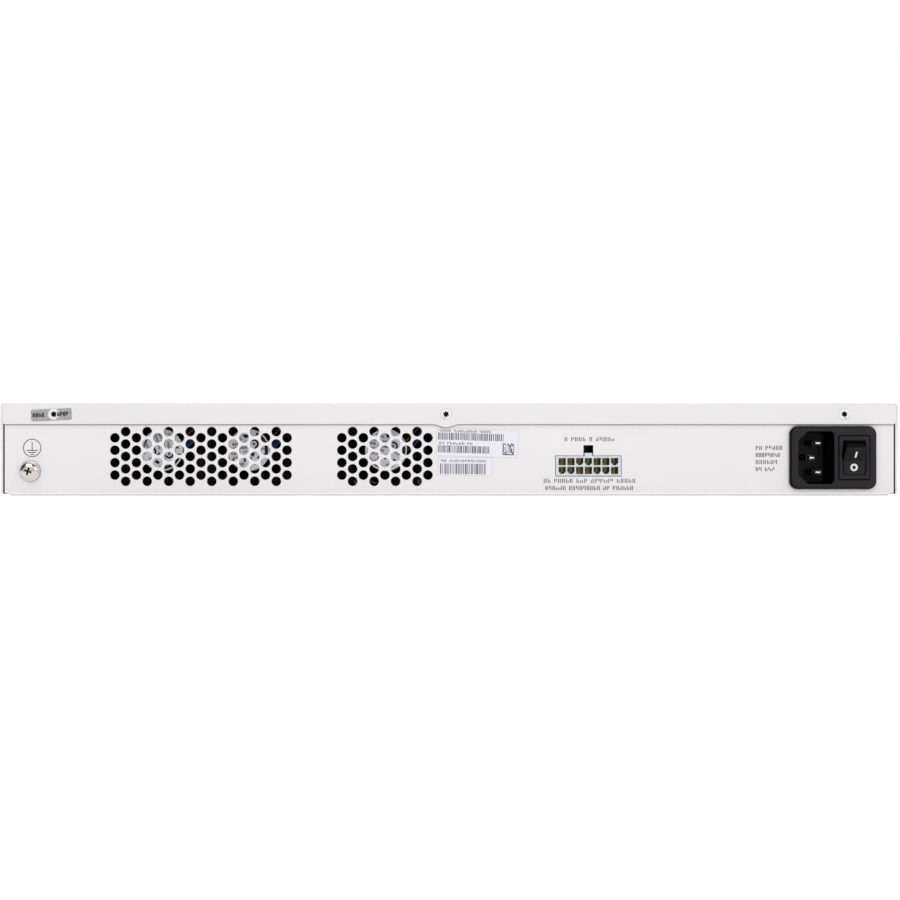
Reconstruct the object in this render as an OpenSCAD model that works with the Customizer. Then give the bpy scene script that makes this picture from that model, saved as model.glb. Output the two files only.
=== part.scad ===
// Rackmount network switch, one rack unit high: sheet-steel tray and cover, mains inlet with rocker switch,
// low-voltage DC input, three rear fans, port blocks at the front, and the boards and supply between them.
// Units are millimetres. +Z is up, -Y is the port side and +Y the power side.
// The origin is the centre of the underside.

/* [Chassis] */
// Width over the cover's side walls
body_w = 431.2; // [430:0.2:438]
// Depth between the tray's front and rear faces
body_d = 300; // [298:1:330]
// Height, one rack unit less clearance
body_h = 44.4; // [44:0.1:44.4]
// Thickness of the steel sheet
sheet_t = 1.2; // [1:0.1:1.3]
// Outside radius of the bends
bend_r = 1.8; // [1.6:0.1:2.2]
// Gap between the rear panel's edge and the cover's side wall
seam_gap = 0.8; // [0.6:0.1:1]
// Height of the tray's side flanges
flange_h = 10.5; // [9.5:0.5:11]
// Depth of the cover's lip over the rear panel
lip_h = 10; // [9.5:0.5:10]
// Thickness of the front panel plate
front_t = 2; // [1.8:0.1:2.2]

/* [Rear vents] */
// Pitch of the honeycomb hole pattern
vent_pitch = 5.97; // [5.8:0.01:6]
// Diameter of each vent hole
vent_dia = 4.65; // [4:0.05:4.8]
// Height of the pattern's centre
vent_z = 18.9; // [18:0.1:20]
// Columns in the wide vent over two fans
wide_columns = 17; // [13:2:17]
// Columns in the narrow vent over one fan, and in the side vents
narrow_columns = 9; // [7:2:9]
// Sideways place of the wide vent
wide_vent_x = 119.3; // [119:0.1:121]
// Sideways place of the narrow vent
narrow_vent_x = 30.9; // [29:0.1:32]

/* [Fans] */
// Side of the square fan frame
fan_w = 40; // [40:0.1:40.2]
// Thickness of the fan
fan_t = 28; // [26:1:28]
// Distance between the two fans behind the wide vent
fan_gap = 42.4; // [42.2:0.1:43]
// Space between the rear panel's outer face and the fans
fan_setback = 10; // [9:0.5:12]
// Number of blades on each rotor
blade_count = 7; // [5:1:9]

/* [Power inlet] */
// Sideways place of the inlet's flange
inlet_x = -184.15; // [-184.5:0.05:-181]
// Height of the inlet's centre
inlet_z = 18.3; // [17.9:0.1:18.5]
// Width of the inlet's flange
inlet_w = 41.2; // [40.8:0.1:43]
// Height of the inlet's flange
inlet_h = 30; // [29.5:0.5:30.5]
// Tilt of the rocker either side of its middle
rocker_tilt = 13.8; // [12:0.1:13.8]

/* [DC input] */
// Sideways place of the DC header
dc_x = -66.9; // [-70:0.1:-60]
// Pitch of the header's ways
dc_pitch = 4.2; // [4.2:0.01:4.2]

/* [Ports] */
// Port columns in each block; every column holds two ports
port_columns = 6; // [4:1:6]
// Pitch of the port columns
port_pitch = 14; // [13.8:0.1:14]
// Sideways places of the two port blocks
port_block_x = [-56, 43];
// Sideways place of the SFP cage
sfp_x = 137; // [132:1:140]
// Number of SFP bays
sfp_bays = 4; // [2:1:4]

/* [Hidden] */
$fn = 48;
eps = 0.01;

// Faces of the enclosure
rear_y = body_d/2;
front_y = -body_d/2;
lip_gap = 0.05;
lip_y = rear_y + lip_gap;
lip_face_y = lip_y + sheet_t;
panel_y = front_y - eps - front_t;
cover_inner_x = body_w/2 - sheet_t;
tray_half = cover_inner_x - seam_gap;
tray_top = body_h - bend_r - 0.1;

// Screws of the enclosure
cover_screw_z = 39.2;
cover_screw_xs = [-189.5, 1.5, 189.6];
side_screw_z = 6;
side_screw_ys = [-95, 10, 115];
panel_screw_x = 208.5;
panel_screw_zs = [8, 36.4];
m3_r = 1.45;
m3_hole_r = 1.5;
m3_head_r = 2.7;
m3_csk_r = 2.8;
ground_x = 201.3;
ground_z = 11.8;
ground_head_r = 4.3;
ground_head_h = 2.1;
washer_t = 0.7;
lock_ring_t = 0.6;
m4_r = 1.95;
m4_hole_r = 2;

// Holes for rack ears, in the cover's side walls
ear_y = front_y + 30;
ear_z = 24;
ear_dy = 30;
ear_dz = 19;
ear_hole_r = 1.65;
ear_collar_r = 2.7;
ear_collar_h = 1.2;

// Boards
board_z = 8;
board_t = 1.6;
board_top = board_z + board_t;
standoff_r = 2.9;
board_front_y = front_y + 2;
board_rear_y = 96;
board_left_x = -98;
board_strip_y = -72;
board_half = 206;
dc_board = [[-92, 100], [-42, 148.3]];
psu_board_box = [[-206, -60], [-106, 104]];
main_holes = [
    [-200, -80], [-110, -80], [200, -142], [-200, -128], [-90, 88],
    [200, 88], [30, 88], [96, -60], [200, -30], [-93, -2]
];
psu_holes = [[-202, -56], [-110, -56], [-202, 70], [-110, 100]];
dc_holes = [[-88, 104], [-46, 104]];

// Inlet module
inlet_t = 2.2;
inlet_face = rear_y + inlet_t;
inlet_body_w = 38.4;
inlet_body_h = 27;
inlet_body_y = 126;
socket_x = inlet_x + 8.35;
socket_w = 17.3;
socket_h = 25.3;
socket_chamfer = 4.5;
socket_depth = 16.6;
switch_x = inlet_x - 9.75;
switch_w = 14.6;
switch_h = 20.8;
switch_body_w = 12.8;
switch_body_h = 20.3;
switch_face = inlet_face + 0.4;
tab_y = 119;
rocker_r = 10;
rocker_depth = 6;
rocker_y = switch_face - rocker_depth;
rocker_w = 10.6;
rocker_edge = 39.3;
rocker_skirt = 70;
trunnion_r = 1.25;

// DC header
dc_z = 14.3;
dc_ways = 7;
dc_w = dc_pitch*(dc_ways - 1) + 6.2;
dc_h = 9.6;
dc_cell = 3.5;
dc_front = rear_y + 0.2;
// 1 marks a way with chamfered lower corners; the first row is the upper one, from -X to +X
dc_keys = [[1, 0, 0, 1, 1, 0, 0], [0, 1, 1, 0, 0, 1, 1]];

// Fans
fan_xs = [wide_vent_x + fan_gap/2, wide_vent_x - fan_gap/2, narrow_vent_x];
fan_z = 22;
fan_rear_y = rear_y - fan_setback;
fan_hole = 16;
fan_bore_r = 18.6;
hub_r = 10.2;
blade_r = 17.9;
bracket_t = 1.2;
bracket_y = fan_rear_y - fan_t;

// Ports
port_z = 22.3;
port_w = 11.8;
port_h = 8;
port_wall = 1;
port_depth = 19;
latch_w = 6.2;
latch_h = 2.2;
block_w = port_pitch*port_columns + 3;
block_h = 25.4;
block_back_y = front_y + 25;
shield_t = 0.3;
sfp_pitch = 14.25;
sfp_w = sfp_pitch*sfp_bays + 0.3;
sfp_h = 9.9;
sfp_depth = 48;
console_x = -122;
console_w = 15.8;
console_h = 13.4;
usb_x = -148;
usb_w = 13.1;
usb_h = 5.8;
button_x = -170;
button_z = 14;
button_r = 2.3;
button_travel = 1;
status_xs = [-202, -195, -188, -181];
status_z = 31;
status_r = 1.2;

// ---------- shared shapes ----------

function arc(x, y, r, from, to, n = 6) =
    [for (i = [0:n]) [x + r*cos(from + (to - from)*i/n), y + r*sin(from + (to - from)*i/n)]];

function rounded(w, h, r) = concat(
    arc(w/2 - r, h/2 - r, r, 0, 90), arc(r - w/2, h/2 - r, r, 90, 180),
    arc(r - w/2, r - h/2, r, 180, 270), arc(w/2 - r, r - h/2, r, 270, 360)
);

// Section of a folded channel, open at the top, standing on y = 0
function channel(half, top, t, r) = concat(
    [[-half, top]], arc(r - half, r, r, 180, 270), arc(half - r, r, r, 270, 360),
    [[half, top], [half - t, top]],
    arc(half - r, r, r - t, 360, 270), arc(r - half, r, r - t, 270, 180), [[t - half, top]]
);

// A drawing in X and Z, made solid between two Y planes
module slab_y(from, to) {
    translate([0, to, 0]) rotate([90, 0, 0]) linear_extrude(to - from) children();
}

// A drawing in Y and Z, made solid between two X planes
module slab_x(from, to) {
    translate([from, 0, 0]) rotate([90, 0, 90]) linear_extrude(to - from) children();
}

// Local +Z points out of the rear, out of the front, or out of one side (s = 1 or -1)
module out_rear(x, y, z) { translate([x, y, z]) rotate([-90, 0, 0]) children(); }
module out_front(x, y, z) { translate([x, y, z]) rotate([90, 0, 0]) children(); }
module out_side(s, y, z) { translate([s*body_w/2, y, z]) rotate([0, s*90, 0]) children(); }

module block(lo, hi) { translate(lo) cube(hi - lo); }

// Honeycomb of holes along local Z, in the local XY plane; its columns hold 4 and 5 holes in turn
module honeycomb(columns, depth) {
    for (c = [0:columns - 1]) {
        count = c%2 == 0 ? 4 : 5;
        for (i = [0:count - 1])
            translate([(c - (columns - 1)/2)*vent_pitch*sqrt(3)/2, (i - (count - 1)/2)*vent_pitch, -depth/2])
                cylinder(h = depth, d = vent_dia, $fn = 32);
    }
}

// Countersunk screw with a six-sided recess, head face at z = 0, pointing down
module countersunk(length, head_h = 1.2) {
    recess_r = 1.4;
    difference() {
        union() {
            translate([0, 0, -head_h]) cylinder(h = head_h, r1 = m3_head_r - head_h, r2 = m3_head_r);
            translate([0, 0, -length]) cylinder(h = length - head_h/2, r = m3_r);
        }
        translate([0, 0, -1.3]) cylinder(h = 2.3, r = recess_r, $fn = 6);
    }
}

// Pan-head screw, underside of the head at z = 0, pointing down
module pan_screw(shank_r, length, head_r, head_h) {
    difference() {
        union() {
            translate([0, 0, -length]) cylinder(h = length + head_h/2, r = shank_r);
            cylinder(h = head_h*0.55, r = head_r);
            translate([0, 0, head_h*0.55]) cylinder(h = head_h*0.45, r1 = head_r, r2 = head_r*0.62);
        }
        translate([0, 0, head_h]) cross_recess(head_r*1.1, head_r*0.26, head_h*0.6);
    }
}

module cross_recess(across, slot, depth) {
    translate([-across/2, -slot/2, -depth]) cube([across, slot, depth + 1]);
    translate([-slot/2, -across/2, -depth]) cube([slot, across, depth + 1]);
}

// Tapped collar's hole for a countersunk screw
module countersink(depth) {
    translate([0, 0, -depth]) cylinder(h = depth + eps, r = m3_hole_r);
    translate([0, 0, -sheet_t]) cylinder(h = sheet_t + eps, r1 = m3_csk_r - sheet_t, r2 = m3_csk_r + eps);
}

// Round wire through a list of points; each length runs a little past the bend, and every second one is a touch
// thinner so that no two skins coincide
module wire(path, r) {
    last = len(path) - 2;
    for (i = [0:last]) {
        d = path[i + 1] - path[i];
        before = i > 0 ? 0.7*r : 0;
        after = i < last ? 0.7*r : 0;
        translate(path[i] - d*before/norm(d)) rotate([0, acos(d[2]/norm(d)), atan2(d[1], d[0])])
            cylinder(h = norm(d) + before + after, r = i%2 == 0 ? r : 0.95*r, $fn = 16);
    }
}

// ---------- enclosure ----------

module base_tray() {
    relief_w = 2;
    relief_d = 4;
    color("white") difference() {
        union() {
            difference() {
                slab_x(-tray_half, tray_half) polygon(channel(body_d/2, tray_top, sheet_t, bend_r));
                for (s = [-1, 1]) translate([s*tray_half, 0, 0])
                    cube([2*bend_r, body_d - 2*relief_d, 2*bend_r], center = true);
            }
            slab_y(front_y + relief_d, rear_y - relief_d) polygon(channel(tray_half, flange_h, sheet_t, bend_r));
        }
        for (s = [-1, 1]) for (e = [-1, 1]) translate([s*tray_half, e*rear_y, 0])
            cube([2*relief_w, 2*relief_d, 2*sheet_t + 0.2], center = true);
        rear_openings();
        front_openings(0.3, front_y - 1, front_y + 3);
        for (s = [-1, 1]) for (y = side_screw_ys)
            out_side(s, y, side_screw_z) translate([0, 0, -8]) cylinder(h = 8, r = m3_hole_r);
    }
}

module rear_openings() {
    translate([wide_vent_x, rear_y, vent_z]) rotate([90, 0, 0]) honeycomb(wide_columns, 6);
    translate([narrow_vent_x, rear_y, vent_z]) rotate([90, 0, 0]) honeycomb(narrow_columns, 6);
    slab_y(rear_y - 4, rear_y + 1) {
        translate([inlet_x, inlet_z]) square([inlet_body_w + 0.4, inlet_body_h + 0.4], center = true);
        translate([dc_x, dc_z]) square([dc_w + 0.5, dc_h + 0.45], center = true);
        translate([dc_x, dc_z + dc_h/2 + 2.5]) square([4.7, 5.4], center = true);
    }
    for (x = cover_screw_xs) out_rear(x, rear_y - 4, cover_screw_z) cylinder(h = 6, r = m3_hole_r);
    out_rear(ground_x, rear_y - 4, ground_z) cylinder(h = 6, r = m4_hole_r);
}

// Windows shared by the tray's front wall and the front panel; grow widens them
module front_openings(grow, from, to) {
    slab_y(from, to) {
        for (x = port_block_x) translate([x, port_z]) square([block_w + 2*grow, block_h + 2*grow], center = true);
        translate([sfp_x, board_top + sfp_h/2]) square([sfp_w + 2*grow, sfp_h + 2*grow], center = true);
        translate([console_x, board_top + console_h/2])
            square([console_w + 2*grow, console_h + 2*grow], center = true);
        translate([usb_x, board_top + usb_h/2]) square([usb_w + 2*grow, usb_h + 2*grow], center = true);
    }
    out_rear(button_x, from, button_z) cylinder(h = to - from, r = button_r + grow/3);
    for (x = status_xs) out_rear(x, from, status_z) cylinder(h = to - from, r = status_r + grow/3);
    for (z = panel_screw_zs) for (s = [-1, 1])
        out_rear(s*panel_screw_x, from, z) cylinder(h = to - from, r = m3_hole_r);
    intake_slots(from, to);
}

// Upright air slots in the front, above the SFP cage and at the right-hand end
module intake_slots(from, to) {
    slab_y(from, to) {
        for (i = [0:13]) translate([sfp_x - 29.25 + i*4.5, 30.5]) polygon(rounded(2.4, 12, 1.1));
        for (i = [0:5]) translate([sfp_x + 38.5 + i*4.5, 24]) polygon(rounded(2.4, 25, 1.1));
    }
}

module top_cover() {
    side_bottom = 0.7;
    lip_bottom = body_h - lip_h;
    lip_half = cover_inner_x - 0.1;
    corner = 1.3;
    tab_half = 6.4;
    tab_drop = 1.6;
    color("white") difference() {
        union() {
            slab_y(front_y, rear_y - 0.1) translate([0, body_h]) mirror([0, 1])
                polygon(channel(body_w/2, body_h - side_bottom, sheet_t, bend_r));
            // the lip, folded down behind the rear panel
            intersection() {
                slab_x(-cover_inner_x, cover_inner_x) polygon(concat(
                    [[lip_y - 6, body_h]], arc(lip_face_y - bend_r, body_h - bend_r, bend_r, 90, 0),
                    [[lip_face_y, lip_bottom], [lip_y, lip_bottom]],
                    arc(lip_face_y - bend_r, body_h - bend_r, bend_r - sheet_t, 0, 90),
                    [[lip_y - 6, body_h - sheet_t]]
                ));
                slab_y(lip_y - 7, lip_face_y + 1) polygon(concat(
                    [[lip_half, body_h - 0.1], [lip_half - 0.6, body_h], [0.6 - lip_half, body_h]],
                    [[-lip_half, body_h - 0.1]], arc(corner - lip_half, lip_bottom + corner, corner, 180, 270),
                    arc(lip_half - corner, lip_bottom + corner, corner, 270, 360)
                ));
            }
            // tab round the middle screw
            slab_y(lip_y, lip_face_y) translate([cover_screw_xs[1], lip_bottom]) polygon(concat(
                [[tab_half, 2], [-tab_half, 2]],
                [for (i = [-8:8]) [tab_half*i/8, -tab_drop*(1 + cos(180*i/8))/2]]
            ));
            for (s = [-1, 1]) ear_holes(s, ear_collar_r, sheet_t + ear_collar_h, 0);
        }
        for (x = cover_screw_xs) out_rear(x, lip_face_y, cover_screw_z) countersink(sheet_t + 1);
        for (s = [-1, 1]) {
            for (y = side_screw_ys) out_side(s, y, side_screw_z) countersink(sheet_t + 0.5);
            ear_holes(s, ear_hole_r, 6, 1);
            translate([s*body_w/2, front_y + 90, 23]) rotate([90, 0, 90]) honeycomb(narrow_columns, 6);
        }
    }
}

module ear_holes(s, r, depth, out) {
    for (dy = [-1, 1]) for (dz = [-1, 1])
        out_side(s, ear_y + dy*ear_dy/2, ear_z + dz*ear_dz/2)
            translate([0, 0, -depth]) cylinder(h = depth + out, r = r);
}

module front_panel() {
    color("white") difference() {
        slab_y(panel_y, front_y - eps) translate([0, body_h/2]) polygon(rounded(body_w, body_h, 1.2));
        front_openings(0.15, panel_y - 1, front_y + 1);
        for (z = panel_screw_zs) for (s = [-1, 1]) out_front(s*panel_screw_x, panel_y, z) countersink(3);
    }
}

module front_panel_screws() {
    color("silver") for (z = panel_screw_zs) for (s = [-1, 1])
        out_front(s*panel_screw_x, panel_y, z) countersunk(7);
}

module rear_cover_screws() {
    color("silver") for (x = cover_screw_xs) out_rear(x, lip_face_y, cover_screw_z) countersunk(6);
}

module side_cover_screws() {
    color("silver") for (s = [-1, 1]) for (y = side_screw_ys)
        out_side(s, y, side_screw_z) countersunk(6);
}

module ground_screw() {
    color("silver") out_rear(ground_x, rear_y + washer_t + lock_ring_t, ground_z) rotate([0, 0, 32])
        pan_screw(m4_r, 9, ground_head_r, ground_head_h);
}

module ground_washer() {
    color("silver") out_rear(ground_x, rear_y, ground_z) difference() {
        union() {
            cylinder(h = washer_t, r = 4.75);
            cylinder(h = washer_t + lock_ring_t, r = 3.8);
        }
        translate([0, 0, -1]) cylinder(h = 4, r = 2.1);
    }
}

label_t = 0.12;

module seal_label() {
    color("gray") slab_y(lip_face_y, lip_face_y + label_t) difference() {
        translate([190.75, 38.9]) rotate(-2.6) polygon(rounded(19.4, 5.5, 0.8));
        translate([cover_screw_xs[2], cover_screw_z]) circle(r = 2.95);
    }
}

module asset_label() {
    color("white") slab_y(rear_y, rear_y + label_t)
        translate([-13.6, 25.4]) rotate(1.6) polygon(rounded(39, 13.2, 0.3));
}

module serial_label() {
    color("white") slab_y(rear_y, rear_y + label_t)
        translate([-7.7, 14.1]) rotate(0.6) polygon(rounded(25.8, 8.6, 0.3));
}

// ---------- mains inlet and switch ----------

// Outline of the mains socket: chamfered corners on the +X side, rounded on the other
function socket_outline(grow = 0) = let (a = socket_w/2 + grow, b = socket_h/2 + grow, c = socket_chamfer) concat(
    [[a - c, -b], [a, c - b], [a, b - c], [a - c, b]],
    arc(2 - a, b - 2, 2, 90, 180), arc(2 - a, 2 - b, 2, 180, 270)
);

module inlet_housing() {
    color([0.12, 0.12, 0.13]) difference() {
        union() {
            slab_y(rear_y, inlet_face) translate([inlet_x, inlet_z]) polygon(rounded(inlet_w, inlet_h, 3.7));
            slab_y(inlet_body_y, rear_y + 0.5) translate([inlet_x, inlet_z])
                square([inlet_body_w, inlet_body_h], center = true);
        }
        slab_y(inlet_face - socket_depth, inlet_face + 1)
            translate([socket_x, inlet_z]) polygon(socket_outline());
        for (p = pin_places) translate([p[0], inlet_body_y, p[1]]) cube([4.2, 30, 2.2], center = true);
        slab_y(inlet_body_y - 1, inlet_face + 1) translate([switch_x, inlet_z])
            square([switch_body_w + 0.2, switch_body_h + 0.2], center = true);
        slab_y(inlet_face - 0.8, inlet_face + 1) translate([switch_x, inlet_z])
            square([switch_w + 0.6, switch_h + 0.6], center = true);
    }
}

// Live, neutral and earth: place in X and Z, and how far the tip stands out of the socket's floor
pin_line = socket_x - 1.5;
pin_places = [
    [pin_line, inlet_z + 7, 14], [pin_line, inlet_z - 7, 14], [pin_line + 3.5, inlet_z, 15.6]
];

module inlet_pins() {
    floor_y = inlet_face - socket_depth;
    color("gainsboro") for (p = pin_places) {
        tip = floor_y + p[2];
        translate([p[0], 0, p[1]]) {
            block([-2, inlet_body_y - 1, -1], [2, tip - 1.6, 1]);
            translate([0, tip - 1.7, 0]) rotate([-90, 0, 0]) pin_tip();
            block([-3.15, tab_y, -0.4], [3.15, inlet_body_y - 1 + eps, 0.4]);
        }
    }
}

// Tapered end of a flat pin, along local Z
module pin_tip() {
    intersection() {
        translate([-2, 1, 0]) rotate([90, 0, 0]) linear_extrude(2)
            polygon([[0, 0], [4, 0], [3.1, 1.7], [0.9, 1.7]]);
        translate([-2, 0, 0]) rotate([90, 0, 90]) linear_extrude(4)
            polygon([[-1, 0], [1, 0], [0.35, 1.7], [-0.35, 1.7]]);
    }
}

module switch_body() {
    back = 128;
    color([0.14, 0.14, 0.15]) difference() {
        union() {
            slab_y(inlet_face - 0.8, switch_face) translate([switch_x, inlet_z])
                polygon(rounded(switch_w, switch_h, 0.5));
            slab_y(back, inlet_face - 0.7) translate([switch_x, inlet_z])
                square([switch_body_w, switch_body_h], center = true);
        }
        translate([switch_x, rocker_y, inlet_z]) rotate([0, 90, 0])
            cylinder(h = rocker_w + 0.4, r = rocker_r + 0.15, center = true, $fn = 96);
        translate([switch_x, rocker_y, inlet_z]) rotate([0, 90, 0])
            cylinder(h = rocker_w + 2.2, r = trunnion_r + 0.05, center = true);
    }
}

// Rocker section in Y and Z about its pivot: two facets meeting in a shallow valley, and a round skirt
module rocker_section() {
    valley = rocker_r*cos(rocker_edge) - rocker_r*sin(rocker_edge)*tan(rocker_tilt);
    polygon(concat(
        [[valley, 0]], arc(0, 0, rocker_r, rocker_edge, rocker_skirt, 8),
        [[-1.8, 5], [-1.8, -5]], arc(0, 0, rocker_r, -rocker_skirt, -rocker_edge, 8)
    ));
}

module power_rocker() {
    color([0.1, 0.1, 0.11]) translate([switch_x, rocker_y, inlet_z]) rotate([-rocker_tilt, 0, 0]) {
        slab_x(-rocker_w/2, rocker_w/2) rocker_section();
        rotate([0, 90, 0]) cylinder(h = rocker_w + 2, r = trunnion_r, center = true);
    }
}

terminal_zs = [inlet_z - 6, inlet_z + 6];
terminal_xs = [switch_x - 3.5, switch_x + 3.5];

module switch_terminals() {
    color("gold") for (x = terminal_xs) for (z = terminal_zs)
        block([x - 0.4, tab_y, z - 2.4], [x + 0.4, 128, z + 2.4]);
}

module ac_wires() {
    colours = ["saddlebrown", "dodgerblue", "limegreen"];
    starts = [
        [terminal_xs[0], tab_y - 0.02, terminal_zs[1]], [terminal_xs[1], tab_y - 0.02, terminal_zs[1]],
        [pin_places[2][0], tab_y - 0.02, inlet_z]
    ];
    for (i = [0:2]) color(colours[i])
        wire([
            starts[i], [starts[i][0], 115.5, starts[i][2]],
            [psu_in_x + 5*(i - 1), 108, 17], [psu_in_x + 5*(i - 1), 104.02, 17]
        ], 1.1);
}

// ---------- DC input ----------

module dc_cell(keyed) {
    h = dc_cell/2;
    c = keyed ? 1.1 : 0.05;
    polygon([[-h, h], [-h, c - h], [c - h, -h], [h - c, -h], [h, c - h], [h, h]]);
}

module dc_header() {
    color("ghostwhite") difference() {
        union() {
            block([dc_x - dc_w/2, 136.5, board_top], [dc_x + dc_w/2, dc_front, dc_z + dc_h/2]);
            // latch ramp on top
            slab_x(dc_x - 1.85, dc_x + 1.85)
                polygon([[140, dc_z + dc_h/2 - 0.5], [140, dc_z + dc_h/2 + 0.4], [143.5, dc_z + dc_h/2 + 1.5],
                    [dc_front, dc_z + dc_h/2 + 1.5], [dc_front, dc_z + dc_h/2 - 0.5]]);
        }
        for (row = [0, 1]) for (i = [0:dc_ways - 1])
            slab_y(139.5, dc_front + 1)
                translate([dc_x + (i - (dc_ways - 1)/2)*dc_pitch, dc_z + (0.5 - row)*dc_pitch])
                    dc_cell(dc_keys[row][i] == 1);
        for (row = [0, 1]) for (i = [0:dc_ways - 1])
            translate([dc_x + (i - (dc_ways - 1)/2)*dc_pitch, 138, dc_z + (0.5 - row)*dc_pitch])
                cube([1.2, 8, 1.2], center = true);
    }
}

module dc_header_pins() {
    half = 0.53;
    color("gold") for (row = [0, 1]) for (i = [0:dc_ways - 1]) {
        x = dc_x + (i - (dc_ways - 1)/2)*dc_pitch;
        z = dc_z + (0.5 - row)*dc_pitch;
        leg_y = 134.5 - (1 - row)*4.2;
        block([x - half, leg_y - half, z - half], [x + half, 147, z + half]);
        block([x - half, leg_y - half, board_top], [x + half, leg_y + half, z]);
    }
}

module dc_input_board() {
    color("darkgreen") difference() {
        block([dc_board[0][0], dc_board[0][1], board_z], [dc_board[1][0], dc_board[1][1], board_top]);
        for (p = dc_holes) translate([p[0], p[1], board_z - 1]) cylinder(h = 4, r = 1.7);
    }
}

// Low-voltage leads: supply to main board, and DC input board to main board
module dc_wires() {
    plug = 0.02;
    for (i = [0:3]) color(i < 2 ? "red" : "black") {
        y = -28 + 4*i;
        wire([
            [plug - 114, y, 16], [-109, y, 16], [-105, y, 23], [-97, y, 23], [-93, y, 16], [-88 - plug, y, 16]
        ], 0.9);
        x = -73 + 4*i;
        wire([
            [x, 104 - plug, 16], [x, 100, 16], [x, 98, 20], [x, 94, 20], [x, 92, 16], [x, 88 + plug, 16]
        ], 0.9);
    }
}

// ---------- fans ----------

// Local frame of a fan: +Z out of the rear face, origin in the middle of that face
module at_fan(i) { translate([fan_xs[i], fan_rear_y, fan_z]) rotate([-90, 0, 0]) children(); }

module fan_frame(i) {
    flange = 3.6;
    base_t = 1.4;
    tube_r = 3.4;
    color([0.1, 0.1, 0.1]) at_fan(i) {
        difference() {
            union() {
                for (z = [-fan_t, -flange]) translate([0, 0, z]) linear_extrude(flange)
                    polygon(rounded(fan_w, fan_w, 3));
                translate([0, 0, 1 - fan_t]) cylinder(h = fan_t - 2, r = fan_w/2 - 0.1, $fn = 96);
            }
            translate([0, 0, -fan_t - 1]) cylinder(h = fan_t + 2, r = fan_bore_r, $fn = 96);
            for (x = [-1, 1]) for (y = [-1, 1])
                translate([x*fan_hole, y*fan_hole, -fan_t - 1]) cylinder(h = fan_t + 2, r = 1.6);
            // notch that lets the leads out on the -X side
            translate([-fan_w/2 - 1, -13.5, -2.6]) cube([6.5, 8, 4]);
        }
        // motor base, its four struts and the bearing tube
        difference() {
            union() {
                translate([0, 0, -base_t - 0.6]) cylinder(h = base_t, r = hub_r + 0.3, $fn = 96);
                for (a = [20:90:290]) rotate(a) translate([hub_r - 0.5, -0.9, -2.6])
                    cube([fan_bore_r - hub_r + 1, 1.8, 2]);
                translate([0, 0, -14]) cylinder(h = 13, r = tube_r);
            }
            translate([0, 0, -15]) cylinder(h = 14, r = 2.55);
        }
    }
}

module fan_rotor(i) {
    hub_top = -fan_t + 1;
    color([0.08, 0.08, 0.08]) at_fan(i) {
        difference() {
            translate([0, 0, hub_top]) cylinder(h = 22.6, r = hub_r, $fn = 96);
            translate([0, 0, hub_top + 1.4]) cylinder(h = 30, r = hub_r - 0.9, $fn = 96);
            translate([0, 0, hub_top - 1]) cylinder(h = 4, r = 1);
        }
        intersection() {
            difference() {
                translate([0, 0, hub_top]) cylinder(h = 21.5, r = blade_r, $fn = 96);
                translate([0, 0, hub_top - 1]) cylinder(h = 30, r = hub_r - 0.3, $fn = 96);
            }
            for (k = [0:blade_count - 1]) rotate(k*360/blade_count)
                translate([blade_r/2 + 4, 0, hub_top + 10.7]) rotate([38, 0, 0])
                    cube([blade_r, 0.9, 34], center = true);
        }
    }
}

// Steel shaft and the motor's steel cup, turning with the rotor
module fan_shaft(i) {
    hub_top = -fan_t + 1;
    color("silver") at_fan(i) {
        translate([0, 0, hub_top + 0.2]) cylinder(h = fan_t - 3.4, r = 0.98);
        difference() {
            translate([0, 0, hub_top + 1.42]) cylinder(h = 20, r = hub_r - 0.92, $fn = 96);
            translate([0, 0, hub_top + 2.4]) cylinder(h = 30, r = hub_r - 2.6, $fn = 96);
        }
    }
}

// Coil core round each bearing tube, with its four pole shoes
module fan_stators() {
    color("peru") for (i = [0:2]) at_fan(i) translate([0, 0, -14]) difference() {
        union() {
            cylinder(h = 9, r = 4.6);
            for (a = [0:90:270]) rotate(a) {
                translate([3.5, -1.3, 1]) cube([3, 2.6, 7]);
                translate([5.9, -2.7, 0.5]) cube([0.9, 5.4, 8]);
            }
        }
        translate([0, 0, -1]) cylinder(h = 11, r = 3.42);
    }
}

module fan_bearings() {
    color("silver") for (i = [0:2]) at_fan(i) for (z = [-13.6, -5]) translate([0, 0, z]) difference() {
        cylinder(h = 2.4, r = 2.53);
        translate([0, 0, -1]) cylinder(h = 5, r = 1.02);
    }
}

module fan_labels() {
    color("lightgray") for (i = [0:2]) at_fan(i) translate([0, 0, -0.6])
        cylinder(h = label_t, r = hub_r, $fn = 96);
}

module fan_bracket() {
    left = fan_xs[2] - fan_w/2 - 5;
    right = fan_xs[0] + fan_w/2 + 15;
    foot = 12;
    color([0.12, 0.12, 0.12]) difference() {
        union() {
            block([left, bracket_y - bracket_t, sheet_t], [right, bracket_y, tray_top - 0.3]);
            block([left, bracket_y - foot, sheet_t], [right, bracket_y - bracket_t + eps, sheet_t + bracket_t]);
        }
        for (i = [0:2]) {
            at_fan(i) translate([0, 0, -fan_t - 3]) cylinder(h = 6, r = fan_bore_r + 0.4, $fn = 96);
            for (x = [-1, 1]) for (z = [-1, 1])
                out_rear(fan_xs[i] + x*fan_hole, bracket_y - 3, fan_z + z*fan_hole) cylinder(h = 6, r = 1.75);
            // notch for the leads
            block([lead_x(i) - 1.3, bracket_y - 3, fan_z + 5], [lead_x(i) + 1.3, bracket_y + 1, fan_z + 14]);
        }
    }
}

module fan_screws() {
    color("silver") for (i = [0:2]) for (x = [-1, 1]) for (z = [-1, 1])
        out_front(fan_xs[i] + x*fan_hole, bracket_y - bracket_t, fan_z + z*fan_hole) pan_screw(1.5, 8, 2.7, 1.8);
}

function lead_x(i) = fan_xs[i] - fan_w/2 - 1.1;

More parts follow.
